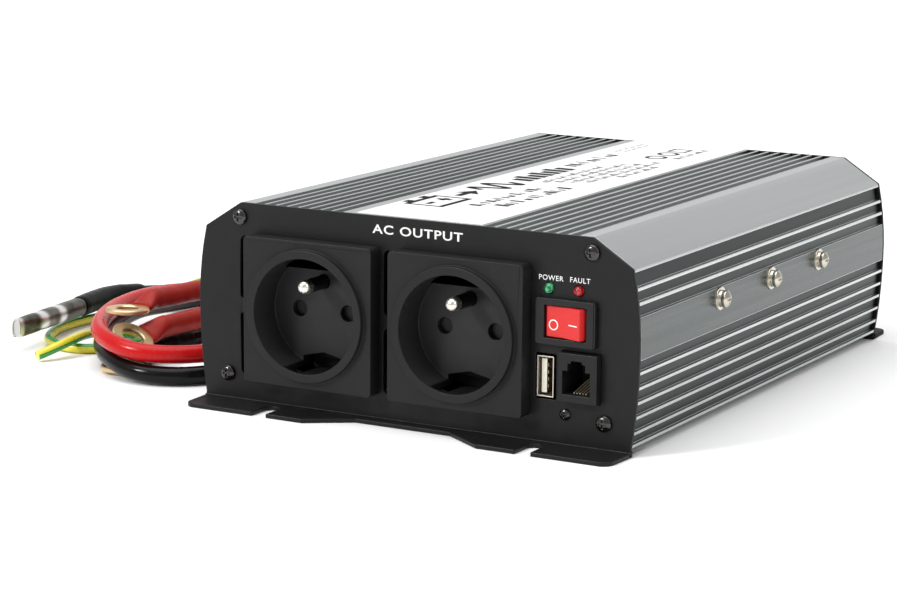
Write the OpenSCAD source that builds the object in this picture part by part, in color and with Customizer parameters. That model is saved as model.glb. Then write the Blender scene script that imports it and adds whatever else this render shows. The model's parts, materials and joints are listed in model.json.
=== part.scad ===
// Power inverter: ribbed aluminium housing, two pin-earth sockets, rocker switch, USB and remote ports,
// rear fan and DC studs, with its battery cables and earth wire laid beside it.
// Origin: on the floor, under the middle of the object's box without its cables. +Z up, front faces -Y.

/* [Housing] */
// Widest part of the housing
body_w = 166.8; // [160:0.2:180]
// Height of the top face above the floor
body_h = 69.5; // [68:0.5:75]
// Distance between the outer faces of the two end panels
body_l = 216.3; // [200:0.1:240]
// Thickness of the steel end panels
panel_t = 1.5; // [1:0.1:2]
// Height of the lowest edge of the housing above the floor
body_lift = 2.9; // [2:0.1:4]
// Depth of the grooves between the ribs
rib_depth = 1.3; // [1:0.1:1.5]

/* [Feet] */
// How far each foot flange reaches beyond its panel
foot_reach = 14.5; // [12:0.5:18]
// Distance from the centre to each mounting notch
notch_x = 50; // [44:0.5:56]
// Width of the mounting notches
notch_w = 5.6; // [4.5:0.1:7]

/* [Sockets] */
// Side of the square socket bezel
socket_side = 50; // [48:0.5:52]
// Bore of the socket cavity
cavity_d = 39; // [38:0.5:40]
// Distance between the two live holes
pin_pitch = 19; // [18.5:0.1:19.5]
// Diameter of the live pins and of the earth pin
pin_d = 4.8; // [4:0.1:4.8]
// Height of the earth pin above the line of the live holes
earth_up = 10; // [9.5:0.5:10.5]

/* [Fan] */
// Side of the square fan frame
fan_side = 50; // [40:1:52]
// Depth of the fan frame
fan_depth = 15; // [10:1:20]
// Number of blades
fan_blades = 7; // [5:1:9]

/* [Cables] */
// Outer diameter of the battery cables
cable_d = 6.5; // [6:0.1:6.6]
// Outer diameter of the earth wire
earth_d = 3.6; // [3:0.1:3.6]

/* [Hidden] */
$fn = 48;

// Heights and end planes
half_w = body_w / 2;
front_y = -113;
rear_y = front_y + body_l;
front_in = front_y + panel_t;
rear_in = rear_y - panel_t;
shoulder_z = body_h - 9;
crown_x = half_w - 17.1;
belly_z = body_h / 2;
base_z = body_lift;

// Outer side curve: half width of the body at height z
function side_x(z) = z > belly_z
  ? half_w - 2.9 * pow((z - belly_z) / (shoulder_z - belly_z), 2)
  : half_w - 2.4 * pow((belly_z - z) / (belly_z - base_z), 2);

// Side ribs (centre heights), the smooth band between them and the top ribs
side_ribs = [shoulder_z - 6.5, shoulder_z - 11, 32, 27.3, 22.4, 17.6, 12.8, 7.7];
rib_t = 1.1;
band_top = shoulder_z - 15.2;
top_rib_count = 8;
label_x = 2;
label_w = 48;
top_land_x = crown_x - 4.6;

// Screw places
screw_upper = [crown_x + 0.1, body_h - 4.9];
screw_lower = [half_w - 11.8, 10.1];
side_screw_z = 41.6;
side_screw_y = [-51, -7.5, 36];
screw_shank_r = 1.4;
screw_hole_r = 1.45;

// Sockets, measured from the panel face at the centre of each socket
socket_z = 34.4;
left_socket_x = -36.4;
right_socket_x = 19.9;
bezel_h = 6;
collar_h = 2;
collar_r = 22.4;
cup_r = 21.5;
cavity_r = cavity_d / 2;
cavity_floor = 5;
shutter_y = 7.3;
shutter_t = 2.1;
cup_end = 12;
back_end = 25;
pocket_r = 17.5;
live_hole_r = 2.75;

// Switch, ports and lamps: centres on the panel face
switch_c = [58, 41.4];
rocker_tilt = 12;
rocker_pivot_y = front_y + 1;
blade_pivot_y = front_y + 9.6;
usb_c = [50.5, 23.1];
jack_c = [63.2, 24.1];
led_z = 51.9;
power_led_x = 51.3;
fault_led_x = 61.9;
board_screw_c = [57.7, 11.4];

// Fan and terminals: centres on the rear panel
fan_c = [38, 36];
fan_front = rear_in - fan_depth;
fan_hole = fan_side * 0.4;
fan_bore_r = fan_side / 2 - 1.5;
guard_wire_r = 0.8;
guard_rod_r = 0.7;
guard_rod_gap = 1.8;
plus_c = [-66, 36];
minus_c = [-40, 36];
earth_c = [-73, 54];
collar_len = 8;
stud_r = 4;
lug_t = 1.8;
lug_hole_r = 4.2;
lug_r = 8;
barrel_r = cable_d / 2;
barrel_offset = barrel_r - lug_t / 2;
lug_reach = 27;
stud_len = 24.2;
strap_low = 14;

// Inside
board_z = 11;
board_t = 1.6;
board_top = board_z + board_t;
wall_in = 79.2;
foot_in = 77.6;

// Cable routes: hand-chosen points along each centreline, from the stud outwards
black_long_route = [[-63.4, 116.4, 22.5], [-78, 116.5, 14.2], [-95, 115.5, 6.8], [-115, 110, 3.8],
  [-136, 99, 3.5], [-153, 81, 3.5], [-165, 57, 3.5], [-173, 28, 3.5], [-175, 0, 4.8], [-171, -29, 7.2],
  [-162, -56, 7.4], [-148.5, -82, 7.3], [-132.5, -99.5, 6], [-116, -107, 4.2], [-101.5, -104, 3.5],
  [-92, -93, 3.5], [-88, -75, 3.5], [-88, -46, 3.5], [-96, -21.5, 3.5], [-110.5, -15, 3.5],
  [-125, -21.5, 3.6], [-131.5, -37, 3.9], [-132, -53, 4.3], [-131.2, -68, 4.3]];
red_long_route = [[-93, 116.4, 36], [-107, 116, 34.5], [-121, 111, 28], [-134, 100, 18.5], [-145, 83, 10],
  [-153, 60, 4.8], [-157.5, 35, 4.6], [-160.5, 14, 7.6], [-163.5, -8, 12.2], [-164.5, -31, 14],
  [-161.5, -53, 14.3], [-153.5, -74, 14.2], [-141, -93.5, 13.9], [-127.5, -104, 12.6], [-113.5, -106, 11],
  [-101, -99, 10.4], [-92, -85, 10.2], [-88.3, -66, 10.2], [-88, -48, 10.2], [-89.8, -33, 10.3],
  [-95.5, -21, 10.5], [-106.5, -16, 11.1], [-117.5, -20.5, 12], [-123, -32, 12.6], [-125.4, -46, 12.9],
  [-127, -60, 12.9]];
red_short_route = [[-91, 109.9, 25.9], [-106, 109.5, 19.4], [-119, 101, 12.4], [-126.5, 86, 6.4],
  [-129.5, 64, 3.8], [-131, 44, 4], [-132, 24, 6.8], [-133.4, 4, 11.8], [-135, -15, 16.8],
  [-136.4, -33, 19.7], [-137.8, -51, 20.3]];
black_short_route = [[-58, 109.9, 15.9], [-64.5, 110.7, 9.6], [-74, 114, 5.4], [-85, 119.5, 3.8],
  [-98, 124.5, 3.5], [-115, 127.5, 3.5], [-137, 123.5, 3.5], [-158, 111, 3.5], [-173, 93, 3.5],
  [-181, 72, 3.5], [-184.5, 50, 3.5], [-187.5, 29, 3.7], [-193, 9, 5.6], [-195.4, -14, 8],
  [-191, -40, 8.4]];
earth_route = [[-87, 105.7, 54], [-98, 105, 52.5], [-108, 99, 47], [-115, 89, 39], [-124, 65, 21],
  [-133, 47, 12.4], [-146, 37, 11.6], [-160, 29, 12.4], [-173, 18, 11.2], [-183, 2, 5.2],
  [-189.5, -16, 2.2], [-193, -34, 1.9], [-191.5, -53, 1.9], [-182, -71, 1.9], [-167, -78.5, 1.9],
  [-155.5, -73.5, 1.9], [-150.5, -63, 1.9], [-151.5, -53, 1.9], [-158.5, -45.5, 1.9], [-166.5, -46, 2.1],
  [-170.6, -54, 3.1], [-167.6, -63, 4.6], [-164.2, -73, 5.9], [-162.5, -83, 5.8], [-163.5, -91, 4.2],
  [-166.3, -97.5, 2.4]];

function span(a, b) = b - a;
function unit(v) = v / norm(v);
function route_dir(p, i) = unit(span(p[max(i - 1, 0)], p[min(i + 1, len(p) - 1)]));
function side_dir(t) = unit(cross(t, [0, 0, 1]));
function ring_points(c, t, r, sides) = [for (k = [0 : sides - 1])
  let (a = 360 * (k + 0.5) / sides, u = side_dir(t), w = cross(u, t))
  c + r * (cos(a) * u + sin(a) * w)];
function tube_points(p, r, sides) = [for (i = [0 : len(p) - 1])
  each ring_points(p[i], route_dir(p, i), r, sides)];
function tube_faces(rings, sides) = concat(
  [[for (k = [0 : sides - 1]) k]],
  [for (i = [0 : rings - 2], k = [0 : sides - 1])
    let (a = i * sides + k, b = i * sides + (k + 1) % sides) [a, a + sides, b]],
  [for (i = [0 : rings - 2], k = [0 : sides - 1])
    let (a = i * sides + k, b = i * sides + (k + 1) % sides) [b, a + sides, b + sides]],
  [[for (k = [sides - 1 : -1 : 0]) (rings - 1) * sides + k]]);

// ---- helpers ----
module cable(route, d, sides = 8) {
  polyhedron(tube_points(route, d / 2, sides), tube_faces(len(route), sides), convexity = 10);
}
// A cylinder along +Y from y0 to y1 at a place on the panel
module rod_y(c, y0, y1, r) {
  translate([c[0], y0, c[1]]) rotate([-90, 0, 0]) cylinder(r = r, h = y1 - y0);
}
// A box from y0 to y1, centred on a place on the panel
module box_y(c, y0, y1, w, h) {
  translate([c[0] - w / 2, y0, c[1] - h / 2]) cube([w, y1 - y0, h]);
}
// A flat outline in X and Z, pushed out along +Y from y0 to y1
module plate_y(y0, y1) {
  translate([0, y1, 0]) rotate([90, 0, 0]) linear_extrude(y1 - y0) children();
}
module both_sides() {
  children();
  mirror([1, 0, 0]) children();
}
module round_rect(w, h, r) {
  square([w - 2 * r, h], center = true);
  square([w, h - 2 * r], center = true);
  for (sx = [-1, 1], sy = [-1, 1]) translate([sx * (w / 2 - r), sy * (h / 2 - r)]) circle(r);
}
// Pan head with a cross recess, head on the -Y side, shank pointing to +Y
module pan_screw(head_r, head_h, shank_r, shank_len) {
  difference() {
    rotate([90, 0, 0]) intersection() {
      cylinder(r = head_r, h = head_h);
      translate([0, 0, head_h - head_r * 1.5]) sphere(r = head_r * 1.5);
    }
    for (a = [0, 90]) rotate([0, a, 0])
      translate([-head_r * 0.55, -head_h - 1, -head_r * 0.12]) cube([head_r * 1.1, 1.9, head_r * 0.24]);
  }
  rotate([-90, 0, 0]) cylinder(r = shank_r, h = shank_len);
}

// ---- housing ----
function side_outline(steps, z0, z1) = [for (i = [0 : steps])
  let (z = z0 + (z1 - z0) * i / steps) [side_x(z), z]];
module half_outline() {
  polygon(concat([[0, base_z]], side_outline(10, base_z, shoulder_z), [[crown_x, body_h], [0, body_h]]));
}
module side_groove(z0, z1) {
  polygon([[side_x(z0) - rib_depth, z0], [side_x(z0) + 2, z0],
    [side_x(z1) + 2, z1], [side_x(z1) - rib_depth, z1]]);
}
module side_grooves() {
  tops = concat([shoulder_z - 0.6], side_ribs);
  for (i = [0 : 1]) side_groove(tops[i + 1] + rib_t / 2, tops[i] - rib_t / 2);
  side_groove(band_top, tops[2] - rib_t / 2);
  for (i = [3 : 7]) side_groove(tops[i + 1] + rib_t / 2, tops[i] - rib_t / 2);
  side_groove(base_z + rib_t, tops[8] - rib_t / 2);
}
module top_grooves(first_x) {
  gap = (top_land_x - first_x) / top_rib_count;
  for (i = [0 : top_rib_count - 1])
    translate([first_x + i * gap + (i == 0 ? 0.3 : rib_t / 2), body_h - rib_depth])
      square([gap - rib_t / 2 - (i == 0 ? 0.3 : rib_t / 2), rib_depth + 1]);
}
module half_hollow() {
  polygon([[-1, base_z - 1], [foot_in, base_z - 1], [foot_in, 21], [wall_in, 24], [wall_in, 54],
    [76.5, 58], [64.5, body_h - 3.9], [-1, body_h - 3.9]]);
}
module screw_channel(c, web_x) {
  translate(c) circle(3.4);
  translate([min(c[0], web_x), c[1] - 1.5]) square([abs(web_x - c[0]), 3]);
}
module housing_profile() {
  difference() {
    union() {
      both_sides() difference() {
        half_outline();
        half_hollow();
        side_grooves();
      }
      both_sides() intersection() {
        half_outline();
        union() {
          screw_channel(screw_upper, screw_upper[0] + 6);
          screw_channel(screw_lower, foot_in + 1);
        }
      }
    }
    both_sides() {
      top_grooves(label_x + label_w / 2 + 0.3);
      translate(screw_upper) circle(screw_hole_r);
      translate(screw_lower) circle(screw_hole_r);
      translate([foot_in - 1, 3.9]) square([2.2, 1.8]);
    }
  }
}
module housing() {
  color("#7b8084") difference() {
    plate_y(front_in, rear_in) housing_profile();
    both_sides() for (y = side_screw_y) {
      translate([wall_in - 2, y, side_screw_z]) rotate([0, 90, 0]) cylinder(r = 1.6, h = 10);
      translate([side_x(side_screw_z) - 0.4, y, side_screw_z]) rotate([0, 90, 0]) cylinder(r = 4, h = 3);
    }
  }
}
module bottom_plate() {
  color("#9a9da0") translate([-foot_in - 1, front_in + 0.1, 4]) difference() {
    cube([2 * foot_in + 2, rear_in - front_in - 0.2, 1.6]);
    for (c = board_post_places())
      translate([c[0] + foot_in + 1, c[1] - front_in - 0.1, -1]) cylinder(r = screw_hole_r, h = 4);
  }
}
function board_post_places() = [for (x = [-60, 60], y = [-72, 58]) [x, y]];

// ---- end panels ----
module panel_outline() {
  both_sides() polygon(concat([[0, 0]], [[side_x(base_z) + 0.1, 0]], side_outline(10, base_z, shoulder_z),
    [[crown_x, body_h], [0, body_h]]));
}
module panel_screw_holes() {
  both_sides() {
    translate(screw_upper) circle(1.7);
    translate(screw_lower) circle(1.7);
  }
}
// Foot flange lying on the floor, drawn in X and Y with the panel's inner face at y = 0
module foot_outline() {
  tip = side_x(base_z) - 0.5;
  difference() {
    union() {
      both_sides() polygon([[0, 0], [0, -6], [18, -6], [33, -foot_reach - panel_t],
        [tip - 4, -foot_reach - panel_t], [tip, -foot_reach - panel_t + 4], [tip + 0.6, 0]]);
      both_sides() translate([tip - 4, -foot_reach - panel_t + 4]) circle(4);
    }
    both_sides() {
      translate([notch_x, -8]) circle(notch_w / 2);
      translate([notch_x - notch_w / 2, -foot_reach - panel_t - 1])
        square([notch_w, foot_reach + panel_t - 7]);
    }
  }
}
module slot_pair(x) {
  for (z = [[10.2, 32.1], [36.3, 58.2]]) {
    translate([x, z[0] + 1.8]) square([3.6, z[1] - z[0] - 3.6]);
    for (e = [z[0] + 1.8, z[1] - 1.8]) translate([x + 1.8, e]) circle(1.8);
  }
}
module front_panel() {
  color("#222325") {
    plate_y(front_y, front_in) difference() {
      panel_outline();
      panel_screw_holes();
      for (x = [left_socket_x, right_socket_x]) {
        translate([x, socket_z]) circle(cup_r + 0.2);
        slot_pair(x - socket_side / 2 - 4.9);
      }
      translate(switch_c) square([19.4, 13.4], center = true);
      translate(usb_c) round_rect(7.3, 14.8, 0.6);
      translate(jack_c) square([14, 16.2], center = true);
      for (x = [power_led_x, fault_led_x]) translate([x, led_z]) circle(1.75);
      translate(board_screw_c) circle(1.3);
    }
    translate([0, front_in, 0]) linear_extrude(panel_t) foot_outline();
  }
}
module rear_panel() {
  color("#222325") union() {
    plate_y(rear_in, rear_y) difference() {
      panel_outline();
      panel_screw_holes();
      translate(fan_c) circle(fan_bore_r - 0.5);
      for (sx = [-1, 1], sz = [-1, 1])
        translate([fan_c[0] + sx * fan_hole, fan_c[1] + sz * fan_hole]) circle(1.8);
      for (c = [plus_c, minus_c]) translate(c) circle(5.6);
      translate(earth_c) circle(2.1);
    }
    translate([0, rear_in, 0]) mirror([0, 1, 0]) linear_extrude(panel_t) foot_outline();
  }
}
module label() {
  color("#f1f1f0") translate([label_x - label_w / 2 + 0.3, front_in + 0.5, body_h])
    cube([label_w - 0.6, rear_in - front_in - 1, 0.2]);
}

// ---- sockets ----
module at_socket(x) {
  translate([x, front_y, socket_z]) children();
}
module socket_front() {
  difference() {
    union() {
      plate_y(-bezel_h, -0.05) round_rect(socket_side, socket_side, 1.5);
      rod_y([0, 0], -bezel_h - collar_h, 0, collar_r);
      rod_y([0, 0], -0.1, cup_end, cup_r);
    }
    rod_y([0, 0], -bezel_h - collar_h - 1, cavity_floor, cavity_r);
    rod_y([0, 0], cavity_floor + 2, cup_end + 1, pocket_r);
    for (s = [-1, 1]) rod_y([s * pin_pitch / 2, 0], 0, cup_end, live_hole_r);
    rod_y([0, earth_up], 0, cup_end, pin_d / 2);
    for (flip = [0, 1]) mirror([0, 0, flip]) clip_recess();
  }
}
// Recess in the cavity's wall and floor, where other versions of the socket hold an earth clip
module clip_recess() {
  plate_y(-bezel_h - 0.6, cup_end + 1)
    polygon([[-8, 20.8], [-8, 16.2], [0, 14.4], [8, 16.2], [8, 20.8]]);
}
module left_socket() {
  color("#2e2f31") at_socket(left_socket_x) socket_front();
}
module right_socket() {
  color("#2e2f31") at_socket(right_socket_x) socket_front();
}
module socket_back() {
  color("#26272a") difference() {
    union() {
      rod_y([0, 0], 9.8, cup_end + 0.1, pocket_r - 0.1);
      rod_y([0, 0], cup_end + 0.1, back_end, cup_r);
      rod_y([0, 0], cavity_floor + 2.1, 10, 2);
    }
    for (s = [-1, 1]) {
      rod_y([s * pin_pitch / 2, 0], 9, back_end - 2, 3.25);
      rod_y([s * pin_pitch / 2, 0], back_end - 3, back_end + 1, 1.05);
    }
    rod_y([0, earth_up], 9, back_end + 1, pin_d / 2);
  }
}
module left_socket_back() {
  at_socket(left_socket_x) socket_back();
}
module right_socket_back() {
  at_socket(right_socket_x) socket_back();
}
module earth_pin() {
  color("#d8d4c4") {
    rod_y([0, earth_up], -6.6, back_end + 3, pin_d / 2 - 0.02);
    translate([0, -6.6, earth_up]) sphere(r = pin_d / 2 - 0.02);
  }
}
module left_earth_pin() {
  at_socket(left_socket_x) earth_pin();
}
module right_earth_pin() {
  at_socket(right_socket_x) earth_pin();
}
module shutter() {
  color("#4a4b4e") plate_y(shutter_y, shutter_y + shutter_t) difference() {
    union() {
      circle(4.2);
      intersection() {
        circle(13.6);
        both_sides() polygon([[0, 0], [15, -5.2], [15, 5.2]]);
      }
    }
    circle(2.05);
  }
}
module left_shutter() {
  at_socket(left_socket_x) shutter();
}
module right_shutter() {
  at_socket(right_socket_x) shutter();
}
module socket_contacts() {
  color("#c9a552") for (x = [left_socket_x, right_socket_x], s = [-1, 1]) at_socket(x)
    difference() {
      union() {
        rod_y([s * pin_pitch / 2, 0], 10.4, back_end - 2.1, 3.2);
        rod_y([s * pin_pitch / 2, 0], back_end - 2.2, back_end + 3, 1);
      }
      rod_y([s * pin_pitch / 2, 0], 10, back_end - 4, pin_d / 2);
    }
}

// ---- rocker switch ----
module switch_body() {
  color("#1b1b1c") difference() {
    union() {
      plate_y(front_y - 2, front_y - 0.02) translate(switch_c) round_rect(21.3, 15, 0.8);
      box_y(switch_c, front_y - 1, front_y + 15, 19, 13);
    }
    box_y(switch_c, front_y - 3, front_y + 13.4, 15, 10.7);
    translate([switch_c[0], rocker_pivot_y, switch_c[1] - 6.2]) cylinder(r = 1.25, h = 12.4);
    for (dx = [-4.5, 0, 4.5]) box_y([switch_c[0] + dx, switch_c[1]], front_y + 12, front_y + 16, 0.9, 4.9);
  }
}
module rocker() {
  color("#d3222a") translate([switch_c[0], rocker_pivot_y, switch_c[1]]) rotate([0, 0, -rocker_tilt]) {
    translate([0, 0, -5.1]) linear_extrude(10.2) polygon([[-6.7, -3.3], [0, -2.5], [6.7, -3.3],
      [7.1, -1.2], [7.1, 0.6], [5.4, 3.2], [1, 4.4], [-1, 4.4], [-5.4, 3.2], [-7.1, 0.6], [-7.1, -1.2]]);
    translate([0, 0, -6.1]) cylinder(r = 1.2, h = 12.2);
  }
}
module contact_blade() {
  color("#c98f4a") translate([switch_c[0], blade_pivot_y, switch_c[1]]) rotate([0, 0, 6]) {
    translate([-5.4, -0.3, -2]) cube([10.8, 0.6, 4]);
    translate([0, 0, -2]) cylinder(r = 0.6, h = 4);
    for (s = [-1, 1]) translate([s * 4.5, 0.7, 0]) sphere(r = 0.7);
  }
}
module switch_terminals() {
  color("#c9c9c4") for (dx = [-4.5, 0, 4.5])
    box_y([switch_c[0] + dx, switch_c[1]], front_y + 12.2, front_y + 22, 0.8, 4.8);
}

// ---- ports, lamps and their boards ----
module usb_shell() {
  color("#c8c8c6") difference() {
    box_y(usb_c, front_y - 0.3, front_y + 13.7, 6, 13.4);
    box_y(usb_c, front_y - 1, front_y + 13.2, 5.2, 12.6);
  }
}
module usb_tongue() {
  color("#e9e4d6") box_y([usb_c[0] - 0.9, usb_c[1]], front_y + 0.9, front_y + 13.2, 1.9, 11.1);
  color("#d2a94a") for (i = [-1.5 : 1 : 1.5])
    box_y([usb_c[0] + 0.2, usb_c[1] + i * 2.3], front_y + 1.5, front_y + 13.2, 0.3, 1.2);
}
module jack_opening() {
  square([9.8, 7.6], center = true);
  translate([0, 4.6]) square([6.2, 3.4], center = true);
  translate([0, 6]) square([3.8, 2.4], center = true);
}
module remote_jack() {
  color("#1d1e20") difference() {
    box_y(jack_c, front_y - 3, front_y + 14, 13.8, 16);
    plate_y(front_y - 4, front_y + 12) translate([jack_c[0] - 0.4, jack_c[1] - 1.6]) jack_opening();
  }
}
module jack_contacts() {
  color("#d2a94a") for (i = [-2 : 2])
    box_y([jack_c[0] - 0.4 + i * 1.05, jack_c[1] - 5], front_y - 0.5, front_y + 11.9, 0.45, 0.7);
}
module led(x) {
  rod_y([x, led_z], front_y - 0.4, front_y + 4.2, 1.6);
  translate([x, front_y - 0.4, led_z]) sphere(r = 1.6);
  rod_y([x, led_z], front_y + 2, front_y + 4.2, 2);
}
module power_led() {
  color("#35c46a") led(power_led_x);
}
module fault_led() {
  color("#e02430") led(fault_led_x);
}
module front_board() {
  color("#2f6b3c") {
    translate([44.5, front_y + 14.1, 8]) difference() {
      cube([28.5, 1.6, 25]);
      translate([23.3, -1, -1]) cube([6, 4, 7]);
    }
    translate([46, front_y + 4.3, led_z - 2.5]) cube([21, 1.2, 5]);
  }
  color("#d9d9d6") rod_y(board_screw_c, front_in + 0.1, front_y + 14, 2.4);
}
module panel_screws() {
  color("#1d1d1f") for (c = [screw_upper, screw_lower], s = [-1, 1]) {
    translate([s * c[0], front_y, c[1]]) pan_screw(2.7, 1.9, screw_shank_r, 10);
    translate([s * c[0], rear_y, c[1]]) rotate([0, 0, 180]) pan_screw(2.7, 1.9, screw_shank_r, 10);
  }
}
module board_screw() {
  color("#1d1d1f") translate([board_screw_c[0], front_y, board_screw_c[1]]) pan_screw(1.9, 1.2, 1.2, 1.55);
}
module side_screws() {
  color("#b9b3a2") both_sides() for (y = side_screw_y)
    translate([side_x(side_screw_z) + 1.5, y, side_screw_z]) rotate([0, 0, 90])
      pan_screw(2.9, 2.3, screw_shank_r, 16);
}
module side_washers() {
  color("#cfcabb") both_sides() for (y = side_screw_y)
    translate([side_x(side_screw_z) - 0.38, y, side_screw_z]) rotate([0, 90, 0]) {
      difference() {
        cylinder(r = 3.9, h = 0.9);
        translate([0, 0, -1]) cylinder(r = 1.6, h = 3);
      }
      translate([0, 0, 0.9]) difference() {
        cylinder(r = 2.9, h = 0.95);
        translate([0, 0, -1]) cylinder(r = 1.6, h = 3);
      }
    }
}

// ---- fan ----
module fan_frame() {
  color("#1c1c1e") difference() {
    union() {
      difference() {
        box_y(fan_c, fan_front, rear_in, fan_side, fan_side);
        rod_y(fan_c, fan_front - 1, rear_in + 1, fan_bore_r);
      }
      rod_y(fan_c, fan_front, fan_front + 2, 12);
      for (a = [30, 150, 270]) translate([fan_c[0], fan_front, fan_c[1]]) rotate([0, a, 0])
        translate([8, 0, -1.2]) cube([fan_bore_r - 7, 2, 2.4]);
    }
    rod_y(fan_c, fan_front - 1, fan_front + 3, 1.55);
    for (sx = [-1, 1], sz = [-1, 1]) rod_y([fan_c[0] + sx * fan_hole, fan_c[1] + sz * fan_hole],
      fan_front - 1, rear_in + 1, 1.5);
  }
}
module fan_rotor() {
  color("#2a2a2c") translate([fan_c[0], 0, fan_c[1]]) {
    rod_y([0, 0], fan_front + 2.4, rear_in - 1.5, 11.5);
    rod_y([0, 0], fan_front + 0.2, fan_front + 3, 1.5);
    for (i = [0 : fan_blades - 1]) rotate([0, i * 360 / fan_blades, 0])
      translate([10.5, (fan_front + rear_in) / 2 + 0.5, 0]) rotate([38, 0, 0])
        translate([0, -5.6, -0.6]) cube([fan_bore_r - 11.7, 11.2, 1.2]);
  }
}
module guard_ring(r) {
  rotate([-90, 0, 0]) rotate_extrude($fn = 64) translate([r, 0]) circle(guard_wire_r, $fn = 16);
}
module fan_guard() {
  color("#b9bbbd") {
    for (r = [8, 14, 20, fan_bore_r]) translate([fan_c[0], rear_y + 1.6, fan_c[1]]) guard_ring(r);
    for (a = [45, 135]) translate([fan_c[0], rear_y + 1.6, fan_c[1]]) rotate([0, a, 0])
      translate([guard_rod_gap - fan_hole * sqrt(2), 0, 0]) rotate([0, 90, 0])
        cylinder(r = guard_rod_r, h = 2 * (fan_hole * sqrt(2) - guard_rod_gap));
    for (sx = [-1, 1], sz = [-1, 1]) difference() {
      rod_y([fan_c[0] + sx * fan_hole, fan_c[1] + sz * fan_hole], rear_y + 0.8, rear_y + 2.4, 3.2);
      rod_y([fan_c[0] + sx * fan_hole, fan_c[1] + sz * fan_hole], rear_y, rear_y + 3, 1.6);
    }
  }
}
module fan_screws() {
  color("#1d1d1f") for (sx = [-1, 1], sz = [-1, 1])
    translate([fan_c[0] + sx * fan_hole, rear_y + 2.4, fan_c[1] + sz * fan_hole])
      rotate([0, 0, 180]) pan_screw(2.8, 1.8, 1.45, 13);
}

// ---- DC input ----
module terminal_collar(c) {
  difference() {
    union() {
      rod_y(c, rear_y, rear_y + collar_len, 8.2);
      rod_y(c, rear_in - 3, rear_y + 1, 5.5);
    }
    rod_y(c, rear_in - 4, rear_y + collar_len + 1, stud_r + 0.02);
  }
}
module terminal_collars() {
  color("#c3202a") terminal_collar(plus_c);
  color("#1c1c1d") terminal_collar(minus_c);
}
module dc_studs() {
  color("#cfae62") for (c = [plus_c, minus_c]) {
    rod_y(c, rear_in - 16, rear_y + stud_len, stud_r);
    rod_y(c, rear_in - 6, rear_in - 3, 6.5);
  }
}
module stud_nuts() {
  color("#c9c9c5") for (c = [plus_c, minus_c]) difference() {
    union() {
      rod_y(c, rear_y + collar_len + 2 * lug_t + 0.1, rear_y + collar_len + 2 * lug_t + 1.7, 7.5);
      translate([c[0], rear_y + collar_len + 2 * lug_t + 1.6, c[1]]) rotate([-90, 0, 0])
        cylinder(r = 7.4, h = 6.5, $fn = 6);
    }
    rod_y(c, rear_y, rear_y + 30, stud_r + 0.02);
  }
}
module earth_stud() {
  color("#cfae62") {
    rod_y(earth_c, rear_in - 4, rear_y + 12, 2);
    for (y = [rear_in - 3.2, rear_y, rear_y + 4.4]) translate([earth_c[0], y, earth_c[1]])
      rotate([-90, 0, 0]) cylinder(r = 4.2, h = 3.1, $fn = 6);
  }
}
module busbars() {
  color("#c98f4a") for (c = [plus_c, minus_c]) difference() {
    union() {
      box_y([c[0], (c[1] + 8 + strap_low) / 2], rear_in - 8.2, rear_in - 6.1, 11, c[1] + 8 - strap_low);
      translate([c[0] + 0.6, rear_in - 40, board_top + 0.05]) cube([4.9, 33.9, 2]);
    }
    rod_y(c, rear_in - 10, rear_in - 5, stud_r + 0.02);
  }
}

// ---- inside ----
module main_board() {
  color("#2f6b3c") translate([-66, -80, board_z]) difference() {
    cube([132, 148, board_t]);
    for (c = board_post_places()) translate([c[0] + 66, c[1] + 80, -1]) cylinder(r = 1.5, h = 4);
  }
}
module board_posts() {
  color("#c9c9c5") for (c = board_post_places()) translate([c[0], c[1], 0]) {
    translate([0, 0, 5.65]) cylinder(r = 3, h = board_z - 5.7, $fn = 6);
    translate([0, 0, board_z - 1]) cylinder(r = 1.4, h = 3.5);
    translate([0, 0, board_top + 0.05]) cylinder(r = 2.7, h = 1.8);
    translate([0, 0, 3.6]) cylinder(r = 1.4, h = 3);
  }
}
transformer_places = [[-27, -8], [27, -8]];
module transformer_cores() {
  color("#38383a") for (p = transformer_places) translate([p[0], p[1], board_top + 1]) {
    difference() {
      translate([-20, -9, 0]) cube([40, 18, 38]);
      translate([-14, -10, 6]) cube([28, 20, 26]);
    }
    translate([-6, -9, 0]) cube([12, 18, 38]);
  }
}
module transformer_windings() {
  color("#c77b35") for (p = transformer_places) translate([p[0], p[1], board_top + 7.6]) difference() {
    translate([-13.4, -15, 0]) cube([26.8, 30, 24.8]);
    translate([-6.3, -9.3, -1]) cube([12.6, 18.6, 27]);
  }
}
module capacitors() {
  color("#2c3e72") {
    for (x = [-12, 7]) translate([x, 50, board_top + 0.1]) cylinder(r = 8, h = 32);
    for (x = [-34, 0]) translate([x, -64, board_top + 0.1]) cylinder(r = 9, h = 34);
  }
}
transistor_y = [-66, -36, -22, 8, 22, 51];
module transistors() {
  color("#242426") both_sides() for (y = transistor_y) translate([wall_in - 0.2, y, 0]) {
    translate([-4.6, -5, 27]) cube([4.5, 10, 15.5]);
    for (dy = [-2.5, 0, 2.5]) {
      translate([-2.4, dy - 0.4, 15]) cube([0.6, 0.8, 13]);
      translate([-15, dy - 0.4, 15]) cube([13.2, 0.8, 0.6]);
      translate([-15, dy - 0.4, board_top + 0.02]) cube([0.6, 0.8, 3]);
    }
  }
}
module clamp_bars() {
  color("#a9abad") both_sides() difference() {
    translate([wall_in - 7.9, -74, 37.5]) cube([3, 134, 8]);
    for (y = side_screw_y) translate([wall_in - 12, y, side_screw_z]) rotate([0, 90, 0])
      cylinder(r = screw_hole_r, h = 10);
  }
}
module fuses() {
  for (i = [0 : 2]) translate([-56 + i * 13, 28, board_top + 0.1]) {
    color("#333436") translate([-4, -10.5, 0]) cube([8, 21, 6]);
    color("#3f9d4d") translate([-2.6, -9.5, 6]) cube([5.2, 19, 10]);
  }
}
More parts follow.
